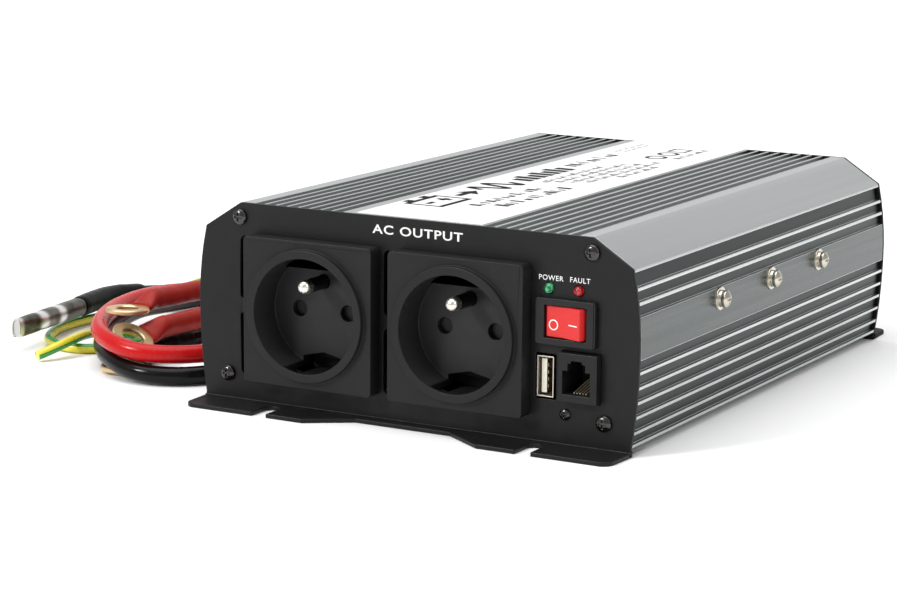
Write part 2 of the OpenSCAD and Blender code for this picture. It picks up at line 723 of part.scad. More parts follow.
module control_board() {
  color("#2f6b3c") translate([-56, -44, board_top + 0.1]) cube([52, 1.6, 30]);
  color("#1b1b1c") {
    translate([-46, -46, 28]) cube([20, 2.1, 6.5]);
    translate([-20, -46, 26]) cube([6.5, 2.1, 10]);
  }
}
// One lead from a socket contact back and down to the board
module output_lead(x, y_start) {
  y_end = front_y + 36;
  rod_y([x, socket_z], y_start, y_end, 1.5);
  translate([x, y_end, socket_z]) sphere(r = 1.5);
  translate([x, y_end, board_top + 0.02]) cylinder(r = 1.5, h = socket_z - board_top - 0.02);
}
module output_leads() {
  for (x = [left_socket_x, right_socket_x], s = [-1, 1])
    color(s < 0 ? "#7b4a2a" : "#2f5fae") output_lead(x + s * pin_pitch / 2, front_y + back_end + 3.05);
}

// ---- cables and what is on them ----
module red_cable_long() {
  color("#d0202a") cable(red_long_route, cable_d);
}
module red_cable_short() {
  color("#d0202a") cable(red_short_route, cable_d);
}
module black_cable_long() {
  color("#1e1e20") cable(black_long_route, cable_d);
}
module black_cable_short() {
  color("#1e1e20") cable(black_short_route, cable_d);
}
module earth_wire() {
  color("#c9cf3a") cable(earth_route, earth_d);
}
// Ring lug: ring centred on the origin in X and Y, barrel along -X, tongue on the barrel's lower side
module ring_lug(ring_r, hole_r, t, barrel, reach) {
  difference() {
    union() {
      cylinder(r = ring_r, h = t, center = true);
      translate([-reach * 0.6, -barrel * 0.85, -t / 2]) cube([reach * 0.6, barrel * 1.7, t]);
      translate([-reach, 0, barrel - t / 2]) rotate([0, 90, 0]) cylinder(r = barrel, h = reach * 0.55);
    }
    cylinder(r = hole_r, h = t + 1, center = true);
    translate([0, 0, t / 2]) cylinder(r = ring_r + 0.2, h = 2 * barrel);
  }
}
module sleeve(len, r_in) {
  rotate([0, 90, 0]) difference() {
    cylinder(r = cable_d / 2 + 1, h = len);
    translate([0, 0, -1]) cylinder(r = r_in, h = len + 2);
  }
}
// Places a lug on a stud: turned about Y, on the inner or the outer side of the pair
module stud_lug(c, turn, level) {
  y = rear_y + collar_len + lug_t * (level + 0.5) + 0.02 + level * 0.02;
  translate([c[0], y, c[1]]) rotate([0, turn, 0]) rotate([level == 0 ? 90 : -90, 0, 0]) children();
}
// Places a lug or sleeve at a cable's end: origin at the end point, +X onwards along the cable
module at_end(route) {
  p = route[len(route) - 1];
  d = route_dir(route, len(route) - 1);
  translate(p) rotate([0, -asin(d[2]), atan2(d[1], d[0])]) children();
}
module end_lug(route, tilt) {
  at_end(route) rotate([tilt, 0, 0]) translate([lug_reach, 0, -barrel_offset])
    ring_lug(lug_r, lug_hole_r, lug_t, barrel_r, lug_reach);
}
module red_lugs() {
  color("#c9a56a") {
    stud_lug(plus_c, 0, 1) ring_lug(lug_r, lug_hole_r, lug_t, barrel_r, lug_reach);
    stud_lug(plus_c, -22, 0) ring_lug(lug_r, lug_hole_r, lug_t, barrel_r, lug_reach);
    end_lug(red_long_route, -32);
    end_lug(red_short_route, 0);
  }
}
module black_lugs() {
  color("#c9a56a") {
    stud_lug(minus_c, -30, 1) ring_lug(lug_r, lug_hole_r, lug_t, barrel_r, lug_reach);
    stud_lug(minus_c, -48, 0) ring_lug(lug_r, lug_hole_r, lug_t, barrel_r, lug_reach);
    end_lug(black_long_route, 0);
  }
}
module tube_terminal() {
  color("#9b9a96") at_end(black_short_route) {
    rotate([0, 90, 0]) cylinder(r = 3.7, h = 50);
    for (x = [18, 32]) translate([x, 0, 0]) rotate([0, 90, 0]) cylinder(r = 3.8, h = 4);
  }
}
module earth_lug() {
  color("#c9a56a") translate([earth_c[0], rear_y + 3.75, earth_c[1]]) rotate([90, 0, 0])
    ring_lug(4.6, 2.15, 0.9, earth_d / 2, 14);
}
module red_sleeves() {
  color("#b5232b") {
    stud_lug(plus_c, 0, 1) translate([-lug_reach - 12, 0, barrel_offset]) sleeve(24, barrel_r + 0.05);
    stud_lug(plus_c, -22, 0) translate([-lug_reach - 12, 0, barrel_offset]) sleeve(24, barrel_r + 0.05);
    at_end(red_long_route) translate([-14, 0, 0]) sleeve(31, barrel_r + 0.05);
    at_end(red_short_route) translate([-14, 0, 0]) sleeve(31, barrel_r + 0.05);
  }
}
module black_sleeves() {
  color("#19191a") {
    stud_lug(minus_c, -30, 1) translate([-lug_reach - 12, 0, barrel_offset]) sleeve(24, barrel_r + 0.05);
    stud_lug(minus_c, -48, 0) translate([-lug_reach - 10, 0, barrel_offset]) sleeve(22, barrel_r + 0.05);
    at_end(black_long_route) translate([-16, 0, 0]) sleeve(29, barrel_r + 0.05);
    at_end(black_short_route) translate([-44, 0, 0]) sleeve(43.9, barrel_r + 0.05);
  }
}

housing();
bottom_plate();
front_panel();
rear_panel();
label();
left_socket();
right_socket();
left_socket_back();
right_socket_back();
left_earth_pin();
right_earth_pin();
left_shutter();
right_shutter();
socket_contacts();
switch_body();
rocker();
contact_blade();
switch_terminals();
usb_shell();
usb_tongue();
remote_jack();
jack_contacts();
power_led();
fault_led();
front_board();
panel_screws();
board_screw();
side_screws();
side_washers();
fan_frame();
fan_rotor();
fan_guard();
fan_screws();
terminal_collars();
dc_studs();
stud_nuts();
earth_stud();
busbars();
main_board();
board_posts();
transformer_cores();
transformer_windings();
capacitors();
transistors();
clamp_bars();
fuses();
control_board();
output_leads();
red_cable_long();
red_cable_short();
black_cable_long();
black_cable_short();
earth_wire();
red_lugs();
black_lugs();
tube_terminal();
earth_lug();
red_sleeves();
black_sleeves();
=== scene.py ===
import json
import math

import bmesh
import bpy
from mathutils import Matrix, Quaternion, Vector, noise

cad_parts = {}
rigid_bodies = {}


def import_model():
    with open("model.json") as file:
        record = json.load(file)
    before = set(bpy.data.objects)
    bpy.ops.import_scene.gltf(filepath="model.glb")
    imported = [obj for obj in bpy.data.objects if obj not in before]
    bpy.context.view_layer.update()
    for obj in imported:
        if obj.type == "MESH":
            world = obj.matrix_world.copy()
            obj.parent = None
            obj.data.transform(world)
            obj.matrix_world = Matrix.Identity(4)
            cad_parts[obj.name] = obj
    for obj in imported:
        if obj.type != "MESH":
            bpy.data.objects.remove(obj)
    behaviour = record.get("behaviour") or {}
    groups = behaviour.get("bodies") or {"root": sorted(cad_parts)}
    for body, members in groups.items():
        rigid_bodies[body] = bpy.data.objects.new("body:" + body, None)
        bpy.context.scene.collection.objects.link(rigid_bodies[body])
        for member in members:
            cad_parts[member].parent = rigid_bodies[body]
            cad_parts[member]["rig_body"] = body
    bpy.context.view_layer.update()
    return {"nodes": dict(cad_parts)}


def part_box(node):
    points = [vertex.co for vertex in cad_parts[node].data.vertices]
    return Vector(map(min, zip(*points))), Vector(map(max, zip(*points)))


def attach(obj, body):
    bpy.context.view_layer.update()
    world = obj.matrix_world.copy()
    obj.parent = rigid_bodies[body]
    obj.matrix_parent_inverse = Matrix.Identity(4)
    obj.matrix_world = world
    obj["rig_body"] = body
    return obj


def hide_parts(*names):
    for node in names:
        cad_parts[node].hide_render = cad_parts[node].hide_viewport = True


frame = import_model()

# The looks of a power inverter: a ribbed anodised housing between two black steel panels, with its
# sockets, switch, ports, fan and battery cables, in the CAD model's frame. Lengths are in metres, and in
# millimetres where a comment or a factor MM says so.

MM = 0.001
NODES = frame["nodes"]
scene = bpy.context.scene


def moved(x, y, z):
    """A shift given in millimetres."""
    return Matrix.Translation(Vector((x, y, z)) * MM)


def turned(degrees, axis):
    """A turn about "X", "Y" or "Z"."""
    return Matrix.Rotation(math.radians(degrees), 4, axis)


def spot(place, x, y=0.0, z=0.0):
    """The point (x, y, z), in millimetres, of a place."""
    return place @ (Vector((x, y, z)) * MM)


def eased(value, start, reach):
    """0 before start and 1 after start + reach, with a smooth rise between them."""
    share = max(0.0, min(1.0, (value - start) / reach))
    return share * share * (3 - 2 * share)


# ---- camera ----
CAMERA_AT = Vector((0.4341, -0.8563, 0.2098))
CAMERA_AZIMUTH, CAMERA_ELEVATION, CAMERA_ROLL = 29.44, 10.98, 0.47
LENS, SENSOR = 107.47, 36.0


def make_camera():
    data = bpy.data.cameras.new("camera")
    data.lens, data.sensor_width, data.sensor_fit = LENS, SENSOR, "HORIZONTAL"
    camera = bpy.data.objects.new("camera", data)
    scene.collection.objects.link(camera)
    azimuth, elevation = math.radians(CAMERA_AZIMUTH), math.radians(CAMERA_ELEVATION)
    back = Vector((math.sin(azimuth) * math.cos(elevation), -math.cos(azimuth) * math.cos(elevation),
                   math.sin(elevation)))
    camera.rotation_mode = "QUATERNION"
    turn = (-back).to_track_quat("-Z", "Y")
    camera.rotation_quaternion = turn @ Quaternion((0, 0, 1), math.radians(CAMERA_ROLL))
    camera.location = CAMERA_AT
    scene.camera = camera


# ---- materials ----
NOISE_ROUGHNESS = 0.55


class Nodes:
    """A shorthand for building one material's node tree."""

    def __init__(self, name):
        self.material = bpy.data.materials.new(name)
        self.material.use_nodes = True
        self.tree = self.material.node_tree
        self.shader = self.tree.nodes["Principled BSDF"]
        self.place = self.add("ShaderNodeTexCoord").outputs["Object"]

    def add(self, kind, **settings):
        node = self.tree.nodes.new(kind)
        for key, value in settings.items():
            setattr(node, key, value)
        return node

    def link(self, output, target):
        self.tree.links.new(output, target)

    def stretched(self, stretch):
        node = self.add("ShaderNodeMapping")
        node.inputs["Scale"].default_value = stretch
        self.link(self.place, node.inputs["Vector"])
        return node.outputs["Vector"]

    def noise(self, scale, stretch=(1, 1, 1), detail=4.0):
        node = self.add("ShaderNodeTexNoise")
        node.inputs["Scale"].default_value = scale
        node.inputs["Detail"].default_value = detail
        node.inputs["Roughness"].default_value = NOISE_ROUGHNESS
        self.link(self.stretched(stretch), node.inputs["Vector"])
        return node.outputs["Fac"]

    def attribute(self, name):
        return self.add("ShaderNodeAttribute", attribute_name=name).outputs["Fac"]

    def ranged(self, value, low, high, from_low=0.3, from_high=0.7):
        node = self.add("ShaderNodeMapRange")
        ends = {"From Min": from_low, "From Max": from_high, "To Min": low, "To Max": high}
        for key, number in ends.items():
            node.inputs[key].default_value = number
        self.link(value, node.inputs["Value"])
        return node.outputs["Result"]

    def times(self, a, b):
        node = self.add("ShaderNodeMath", operation="MULTIPLY")
        for socket, value in zip(node.inputs, (a, b)):
            if isinstance(value, (int, float)):
                socket.default_value = value
            else:
                self.link(value, socket)
        return node.outputs["Value"]

    def mixed(self, share, a, b):
        node = self.add("ShaderNodeMix", data_type="RGBA")
        self.link(share, node.inputs["Factor"])
        for socket, value in ((node.inputs[6], a), (node.inputs[7], b)):
            if isinstance(value, tuple):
                socket.default_value = (*value, 1.0)
            else:
                self.link(value, socket)
        return node.outputs[2]

    def bump(self, height, depth):
        """depth is the relief's height in metres."""
        node = self.add("ShaderNodeBump")
        node.inputs["Strength"].default_value = 1.0
        node.inputs["Distance"].default_value = depth
        self.link(height, node.inputs["Height"])
        self.link(node.outputs["Normal"], self.shader.inputs["Normal"])

    def set(self, **values):
        for key, value in values.items():
            self.shader.inputs[key.replace("_", " ")].default_value = value


def shade(colour, factor):
    return tuple(min(1.0, c * factor) for c in colour)


def surface(name, colour, roughness, metallic=0.0, grain=900.0, depth=6e-6, stretch=(1, 1, 1), vary=0.12,
            rough_vary=0.08, worn=None, **extra):
    """A finished surface: cloudy colour, uneven roughness, fine relief and lighter rounded edges, partly wear
    and partly a painted highlight.
    """
    m = Nodes(name)
    clouds = m.ranged(m.noise(35.0, stretch), 0.0, 1.0)
    colours = m.mixed(clouds, shade(colour, 1 - vary), shade(colour, 1 + vary))
    # Rounded edges take a lighter colour: partly edge wear, partly a painted highlight.
    edge = m.times(m.attribute("worn"), m.ranged(m.noise(420.0), 0.25, 1.0))
    m.link(m.mixed(edge, colours, worn or shade(colour, 1.35)), m.shader.inputs["Base Color"])
    rough = m.ranged(m.noise(240.0, stretch), roughness - rough_vary, roughness + rough_vary)
    m.link(rough, m.shader.inputs["Roughness"])
    m.bump(m.noise(grain, stretch, detail=3.0), depth)
    m.set(Metallic=metallic, **extra)
    return m.material


BRUSHED = (1.0, 0.012, 1.0)


def make_materials():
    made = {}

    def put(key, *args, **kwargs):
        made[key] = surface(key, *args, **kwargs)

    brushed = {"grain": 2600.0, "depth": 2.5e-6, "stretch": BRUSHED, "rough_vary": 0.07}
    put("anodised", (0.50, 0.52, 0.52), 0.33, 1.0, vary=0.10, worn=(0.95, 0.97, 0.96), **brushed)
    # The housing is one anodised colour, and the four copies below are painted light on it. The lighter copy
    # for the ribs' outer faces is a painted highlight. The darker copies for the side band and grooves are
    # painted shade, less dark on the top grooves.
    put("anodised_edge_painted_highlight", (0.62, 0.65, 0.645), 0.28, 1.0, vary=0.06, worn=(0.95, 0.97, 0.96), **brushed)
    put("anodised_band_painted_shade", (0.12, 0.132, 0.13), 0.28, 1.0, vary=0.14, worn=(0.70, 0.72, 0.72), **brushed)
    put("anodised_groove_painted_shade", (0.038, 0.045, 0.044), 0.36, 1.0, vary=0.12, worn=(0.30, 0.32, 0.32), **brushed)
    put("anodised_top_groove_painted_shade", (0.20, 0.21, 0.215), 0.36, 1.0, vary=0.12, worn=(0.60, 0.62, 0.62), **brushed)
    put("sheet_steel", (0.0065, 0.0065, 0.0068), 0.45, grain=1500.0, depth=9e-6, vary=0.2,
        worn=(0.03, 0.03, 0.032), Specular_IOR_Level=0.26)
    put("rear_steel", (0.0085, 0.0085, 0.0088), 0.55, grain=1500.0, depth=9e-6, vary=0.2,
        worn=(0.01, 0.01, 0.011), Specular_IOR_Level=0.13)
    put("bare_sheet", (0.56, 0.57, 0.58), 0.38, 1.0, grain=1800.0, depth=3e-6, stretch=BRUSHED)
    put("socket_black", (0.0105, 0.0105, 0.0115), 0.50, grain=3200.0, depth=1.6e-5, vary=0.12,
        worn=(0.035, 0.035, 0.038), Specular_IOR_Level=0.24)
    # A lighter copy of the socket's plastic for its cavity: painted light that lifts the shade inside it.
    put("socket_cavity_painted_light", (0.020, 0.020, 0.0215), 0.46, grain=3200.0, depth=1.2e-5, vary=0.12,
        worn=(0.05, 0.05, 0.054), Specular_IOR_Level=0.28)
    put("dark_plastic", (0.0085, 0.0085, 0.0092), 0.40, grain=2400.0, depth=8e-6, worn=(0.03, 0.03, 0.03),
        Specular_IOR_Level=0.28)
    put("switch_black", (0.0105, 0.0105, 0.011), 0.36, grain=2200.0, depth=4e-6, worn=(0.04, 0.04, 0.04),
        Specular_IOR_Level=0.28)
    put("rocker_red", (0.64, 0.022, 0.020), 0.34, grain=1800.0, depth=2e-6, vary=0.05,
        worn=(0.80, 0.06, 0.05), Coat_Weight=0.1, Specular_IOR_Level=0.35)
    put("pin_nickel", (0.86, 0.83, 0.74), 0.30, 1.0, grain=1600.0, depth=3e-6)
    # The earth pin is nickel all through. This dark copy for its shaft behind the tip is painted shade.
    put("pin_shaft_painted_shade", (0.045, 0.045, 0.045), 0.42, 1.0, grain=1600.0, depth=3e-6)
    put("cream_plastic", (0.86, 0.82, 0.70), 0.42, grain=1800.0, depth=3e-6, vary=0.05)
    put("dull_gold", (0.34, 0.25, 0.13), 0.34, 1.0, grain=2400.0, depth=2e-6)
    put("usb_steel", (0.62, 0.58, 0.50), 0.34, 1.0, grain=1600.0, depth=2e-6, worn=(0.66, 0.62, 0.55))
    # The faint emission is a painted glow on the jack's contacts, which give no light of their own.
    put("spring_gold", (0.93, 0.82, 0.62), 0.22, 1.0, grain=2400.0, depth=1e-6,
        Emission_Color=(0.9, 0.75, 0.5, 1.0), Emission_Strength=0.05)
    # The screws' bright edge colour is mostly a painted highlight on the heads and their recesses.
    put("black_screw", (0.075, 0.072, 0.070), 0.20, 1.0, grain=2000.0, depth=3e-6, worn=(0.75, 0.73, 0.70))
    put("zinc", (0.60, 0.56, 0.48), 0.22, 1.0, grain=1500.0, depth=4e-6, vary=0.16, worn=(0.93, 0.90, 0.82))
    put("brass", (0.72, 0.53, 0.26), 0.30, 1.0, grain=1500.0, depth=5e-6, vary=0.18, worn=(0.90, 0.74, 0.45))
    put("lug_brass", (0.74, 0.56, 0.32), 0.36, 1.0, grain=1300.0, depth=7e-6, vary=0.2,
        worn=(0.95, 0.84, 0.60))
    put("tinned", (0.56, 0.55, 0.52), 0.30, 1.0, grain=1100.0, depth=6e-6, vary=0.18, worn=(0.92, 0.91, 0.88))
    put("copper", (0.74, 0.40, 0.22), 0.34, 1.0, grain=1400.0, depth=8e-6, vary=0.2)
    put("chrome_wire", (0.72, 0.73, 0.74), 0.20, 1.0, grain=900.0, depth=2e-6)
    put("ferrite", (0.045, 0.046, 0.052), 0.55, grain=2600.0, depth=2e-5)
    put("cap_sleeve", (0.03, 0.05, 0.20), 0.32, grain=700.0, depth=4e-6)
    put("cap_top", (0.70, 0.70, 0.70), 0.40, 1.0)
    put("fuse_green", (0.06, 0.42, 0.10), 0.28, grain=900.0, depth=2e-6)
    put("solder_mask", (0.02, 0.13, 0.04), 0.34, grain=500.0, depth=8e-6, vary=0.25)
    put("red_insulator", (0.58, 0.02, 0.025), 0.40, grain=1800.0, depth=6e-6)
    put("red_pvc", (0.50, 0.005, 0.006), 0.24, grain=300.0, depth=3e-6, vary=0.06, Specular_IOR_Level=0.24)
    put("black_pvc", (0.002, 0.002, 0.0024), 0.22, grain=300.0, depth=3e-6, vary=0.2, Specular_IOR_Level=0.20)
    put("red_shrink", (0.32, 0.018, 0.012), 0.42, grain=420.0, depth=3e-5, vary=0.16, Specular_IOR_Level=0.2)
    put("black_shrink", (0.003, 0.003, 0.0036), 0.36, grain=420.0, depth=1.6e-5, Specular_IOR_Level=0.10)
    put("lead_brown", (0.17, 0.07, 0.03), 0.35)
    put("lead_blue", (0.03, 0.12, 0.42), 0.35)
    put("white_film", (0.78, 0.78, 0.775), 0.55, grain=1500.0, depth=4e-6, vary=0.02, Specular_IOR_Level=0.15)
    put("black_ink", (0.010, 0.010, 0.011), 0.6, grain=900.0, depth=2e-6, Specular_IOR_Level=0.05)
    put("white_ink", (0.86, 0.86, 0.84), 0.5, grain=1600.0, depth=3e-6, vary=0.04)
    put("grey_ink", (0.045, 0.045, 0.047), 0.6, grain=900.0, depth=2e-6, Specular_IOR_Level=0.05)
    made["green_lens"] = lens("green_lens", (0.004, 0.075, 0.026), (0.07, 0.46, 0.20))
    made["red_lens"] = lens("red_lens", (0.12, 0.001, 0.002), (0.50, 0.016, 0.018))
    made["earth_pvc"] = earth_sheath()
    made["tube_tin"] = tube_tin()
    made["brass_thread"] = brass_thread()
    return made


def brass_thread():
    """Brass with a rolled thread's crests along Y."""
    m = Nodes("brass_thread")
    clouds = m.ranged(m.noise(160.0), 0.0, 1.0)
    m.link(m.mixed(clouds, (0.60, 0.43, 0.20), (0.80, 0.61, 0.32)), m.shader.inputs["Base Color"])
    m.link(m.ranged(m.noise(500.0), 0.24, 0.38), m.shader.inputs["Roughness"])
    wave = m.add("ShaderNodeTexWave", wave_type="BANDS", bands_direction="Y", wave_profile="TRI")
    wave.inputs["Scale"].default_value = 250.0  # a pitch of about 1.26 mm
    m.link(m.place, wave.inputs["Vector"])
    m.bump(wave.outputs["Fac"], 3e-4)
    m.set(Metallic=1.0)
    return m.material


def lens(name, dark, light):
    """A moulded lamp lens: clear coloured plastic with the bright legs of the lamp inside."""
    m = Nodes(name)
    legs = m.ranged(m.noise(1100.0, (1.0, 1.0, 0.3), detail=1.0), 0.0, 1.0, 0.42, 0.60)
    colours = m.mixed(legs, dark, light)
    m.link(colours, m.shader.inputs["Base Color"])
    m.link(colours, m.shader.inputs["Emission Color"])
    m.link(m.ranged(m.noise(500.0), 0.08, 0.16), m.shader.inputs["Roughness"])
    m.set(Emission_Strength=0.16, Coat_Weight=0.4)
    return m.material


def tube_tin():
    """Tinned copper: dark and clouded, with bands wiped bright where the tube was dressed."""
    m = Nodes("tube_tin")
    clouds = m.ranged(m.noise(150.0, detail=5.0), 0.0, 1.0)
    dull = m.mixed(clouds, (0.04, 0.036, 0.028), (0.22, 0.205, 0.175))
    bright = m.times(m.attribute("bright"), m.ranged(m.noise(260.0), 0.85, 1.0))
    m.link(m.mixed(bright, dull, (0.97, 0.97, 0.95)), m.shader.inputs["Base Color"])
    m.link(m.ranged(m.noise(400.0), 0.30, 0.42), m.shader.inputs["Roughness"])
    m.bump(m.noise(700.0), 2e-6)
    m.set(Metallic=1.0)
    return m.material


def earth_sheath():
    """Yellow sheath with green stripes that wander slowly round the wire, as tube() places them."""
    m = Nodes("earth_pvc")
    stripe = m.ranged(m.attribute("stripe"), 0.0, 1.0, -0.04, 0.04)
    clouds = m.ranged(m.noise(60.0), 0.0, 1.0)
    yellow = m.mixed(clouds, (0.66, 0.60, 0.02), (0.80, 0.72, 0.05))
    green = m.mixed(clouds, (0.015, 0.24, 0.035), (0.03, 0.34, 0.06))
    m.link(m.mixed(stripe, yellow, green), m.shader.inputs["Base Color"])
    m.link(m.ranged(m.noise(300.0), 0.24, 0.36), m.shader.inputs["Roughness"])
    m.bump(m.noise(420.0), 8e-6)
    m.set(Coat_Weight=0.25)
    return m.material


# ---- meshes ----
def add_piece(name, mesh, material, body="root", nodes=()):
    """Links a mesh as a piece that rides on a body and may stand for CAD nodes."""
    piece = bpy.data.objects.new(name, mesh)
    scene.collection.objects.link(piece)
    for each in material if isinstance(material, (list, tuple)) else [material]:
        mesh.materials.append(MATERIALS[each])
    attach(piece, body)
    if nodes:
        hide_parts(*nodes)
    return piece


def mesh_from(bm, name, smooth=40.0):
    """The finished mesh, with edges under smooth degrees shaded as one surface."""
    mesh = bpy.data.meshes.new(name)
    bmesh.ops.recalc_face_normals(bm, faces=bm.faces)
    bm.to_mesh(mesh)
    bm.free()
    mesh.shade_smooth()
    mesh.set_sharp_from_angle(angle=math.radians(smooth))
    return mesh


SHARP_ANGLE = math.radians(32.0)


def bevelled(bm, width, segments):
    """Rounds every sharp edge, and marks the new faces for the lighter edge colour, partly wear and partly a
    painted highlight.
    """
    sharp = [e for e in bm.edges if len(e.link_faces) == 2 and e.calc_face_angle(0.0) > SHARP_ANGLE]
    made = bmesh.ops.bevel(bm, geom=sharp, offset=width, offset_type="OFFSET", segments=segments, profile=0.5,
                           affect="EDGES", clamp_overlap=False, loop_slide=True)
    worn = bm.faces.layers.float.get("worn") or bm.faces.layers.float.new("worn")
    for face in made["faces"]:
        if face.is_valid:
            face[worn] = 1.0


def refined(node, material, width=0.0, segments=2, pick=None, cut_y=None):
    """A CAD node's own shape as a welded mesh with smooth round faces and edges rounded by width, in mm.

    pick(centre, face) chooses the material's index, and cut_y splits the faces there for it.
    """
    source = NODES[node]
    bm = bmesh.new()
    bm.from_mesh(source.data)
    bmesh.ops.remove_doubles(bm, verts=bm.verts, dist=2e-6)
    bmesh.ops.dissolve_limit(bm, angle_limit=math.radians(0.6), verts=bm.verts, edges=bm.edges)
    if width:
        bevelled(bm, width * MM, segments)
    if cut_y is not None:
        everything = [*bm.verts, *bm.edges, *bm.faces]
        bmesh.ops.bisect_plane(bm, geom=everything, plane_co=(0, cut_y, 0), plane_no=(0, 1, 0))
    for face in bm.faces:
        face.material_index = pick(face.calc_center_median(), face) if pick else 0
    mesh = mesh_from(bm, node, 50.0)
    piece = add_piece(node + "_finished", mesh, material, source["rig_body"], [node])
    normals = piece.modifiers.new("normals", "WEIGHTED_NORMAL")
    normals.keep_sharp = True
    return piece


def smooth_path(points_mm, step=1.5, passes=14):
    """An even, smooth line in metres through points in millimetres, with a point about every step mm."""
    p = [Vector(q) for q in points_mm]
    p = [2 * p[0] - p[1], *p, 2 * p[-1] - p[-2]]
    dense = []
    for a, b, c, d in zip(p, p[1:], p[2:], p[3:]):
        count = max(2, int((c - b).length / 0.5))
        for i in range(count):
            t = i / count
            dense.append(0.5 * (2 * b + (c - a) * t + (2 * a - 5 * b + 4 * c - d) * t**2
                                + (3 * b - a - 3 * c + d) * t**3))
    dense.append(p[-2])
    even = resampled(dense, step)
    for _ in range(passes):
        even[2:-2] = [(even[i - 1] + 2 * even[i] + even[i + 1]) / 4 for i in range(2, len(even) - 2)]
    return [q * MM for q in even]


def resampled(points, step):
    """Points at even distances of about step along a line of points."""
    lengths = [0.0]
    for a, b in zip(points, points[1:]):
        lengths.append(lengths[-1] + (b - a).length)
    count = max(2, round(lengths[-1] / step))
    even, k = [], 0
    for i in range(count + 1):
        target = lengths[-1] * i / count
        while k < len(points) - 2 and lengths[k + 1] < target:
            k += 1
        share = (target - lengths[k]) / max(1e-12, lengths[k + 1] - lengths[k])
        even.append(points[k].lerp(points[k + 1], share))
    return even


def frames_along(path):
    """Tangent and two cross directions at each point, with as little twist as the path allows."""
    last = len(path) - 1
    tangents = [(path[min(i + 1, last)] - path[max(i - 1, 0)]).normalized() for i in range(last + 1)]
    side = tangents[0].cross(Vector((0, 0, 1))).normalized()
    made = []
    for t in tangents:
        side = (side - side.dot(t) * t).normalized()
        made.append((t, side, side.cross(t)))
    return made


# The earth wire's two stripes: radians of turn for each metre, the turn at the start, and how much of the
# round stays yellow.
STRIPE_TURN, STRIPE_START, STRIPE_LEVEL = 20.0, -0.75, 0.3


def tube(path, radius, sides):
    """A closed round tube, with a 'stripe' value that is above 0 on the stripes."""
    bm = bmesh.new()
    stripe = bm.verts.layers.float.new("stripe")
    rings = []
    travelled = 0.0
    for i, (point, (_, u, w)) in enumerate(zip(path, frames_along(path))):
        travelled += (point - path[i - 1]).length if i else 0.0
        ring = []
        for k in range(sides):
            a = 2 * math.pi * k / sides
            v = bm.verts.new(point + radius * (math.cos(a) * u + math.sin(a) * w))
            v[stripe] = math.sin(2 * a + STRIPE_START + travelled * STRIPE_TURN) - STRIPE_LEVEL
            ring.append(v)
        rings.append(ring)
    for a, b in zip(rings, rings[1:]):
        for k in range(sides):
            bm.faces.new((a[k], a[(k + 1) % sides], b[(k + 1) % sides], b[k]))
    bm.faces.new(rings[0][::-1])
    bm.faces.new(rings[-1])
    return bm


# ---- cables: the same routes as the CAD model's, in millimetres ----
CABLE_R, EARTH_R = 3.25 * MM, 1.8 * MM
REAR_Y, COLLAR = 103.0, 8.0  # the rear face here is 0.3 mm short of the CAD model's
LUG_R, LUG_HOLE_R, LUG_T, BARREL_R, LUG_REACH = 8.0, 4.2, 1.8, 3.25, 27.0
LUG_GAP = 0.02  # between a collar and the lugs on it
# Places along a lug, from its ring's middle, of the sections of the sleeve over its barrel
SLEEVE_STATIONS = [-26.5 + 1.5 * k for k in range(12)] + [-8.8, -7.8, -7.2]
SLEEVE_WALL, SLEEVE_SPREAD, SLEEVE_FLAT = 0.62, 0.85, 1.75  # wall, widening and half height where flat
PLUS, MINUS = (-66, 36), (-40, 36)
EARTH_LUG_AT = (-73, REAR_Y + 3.75, 54)
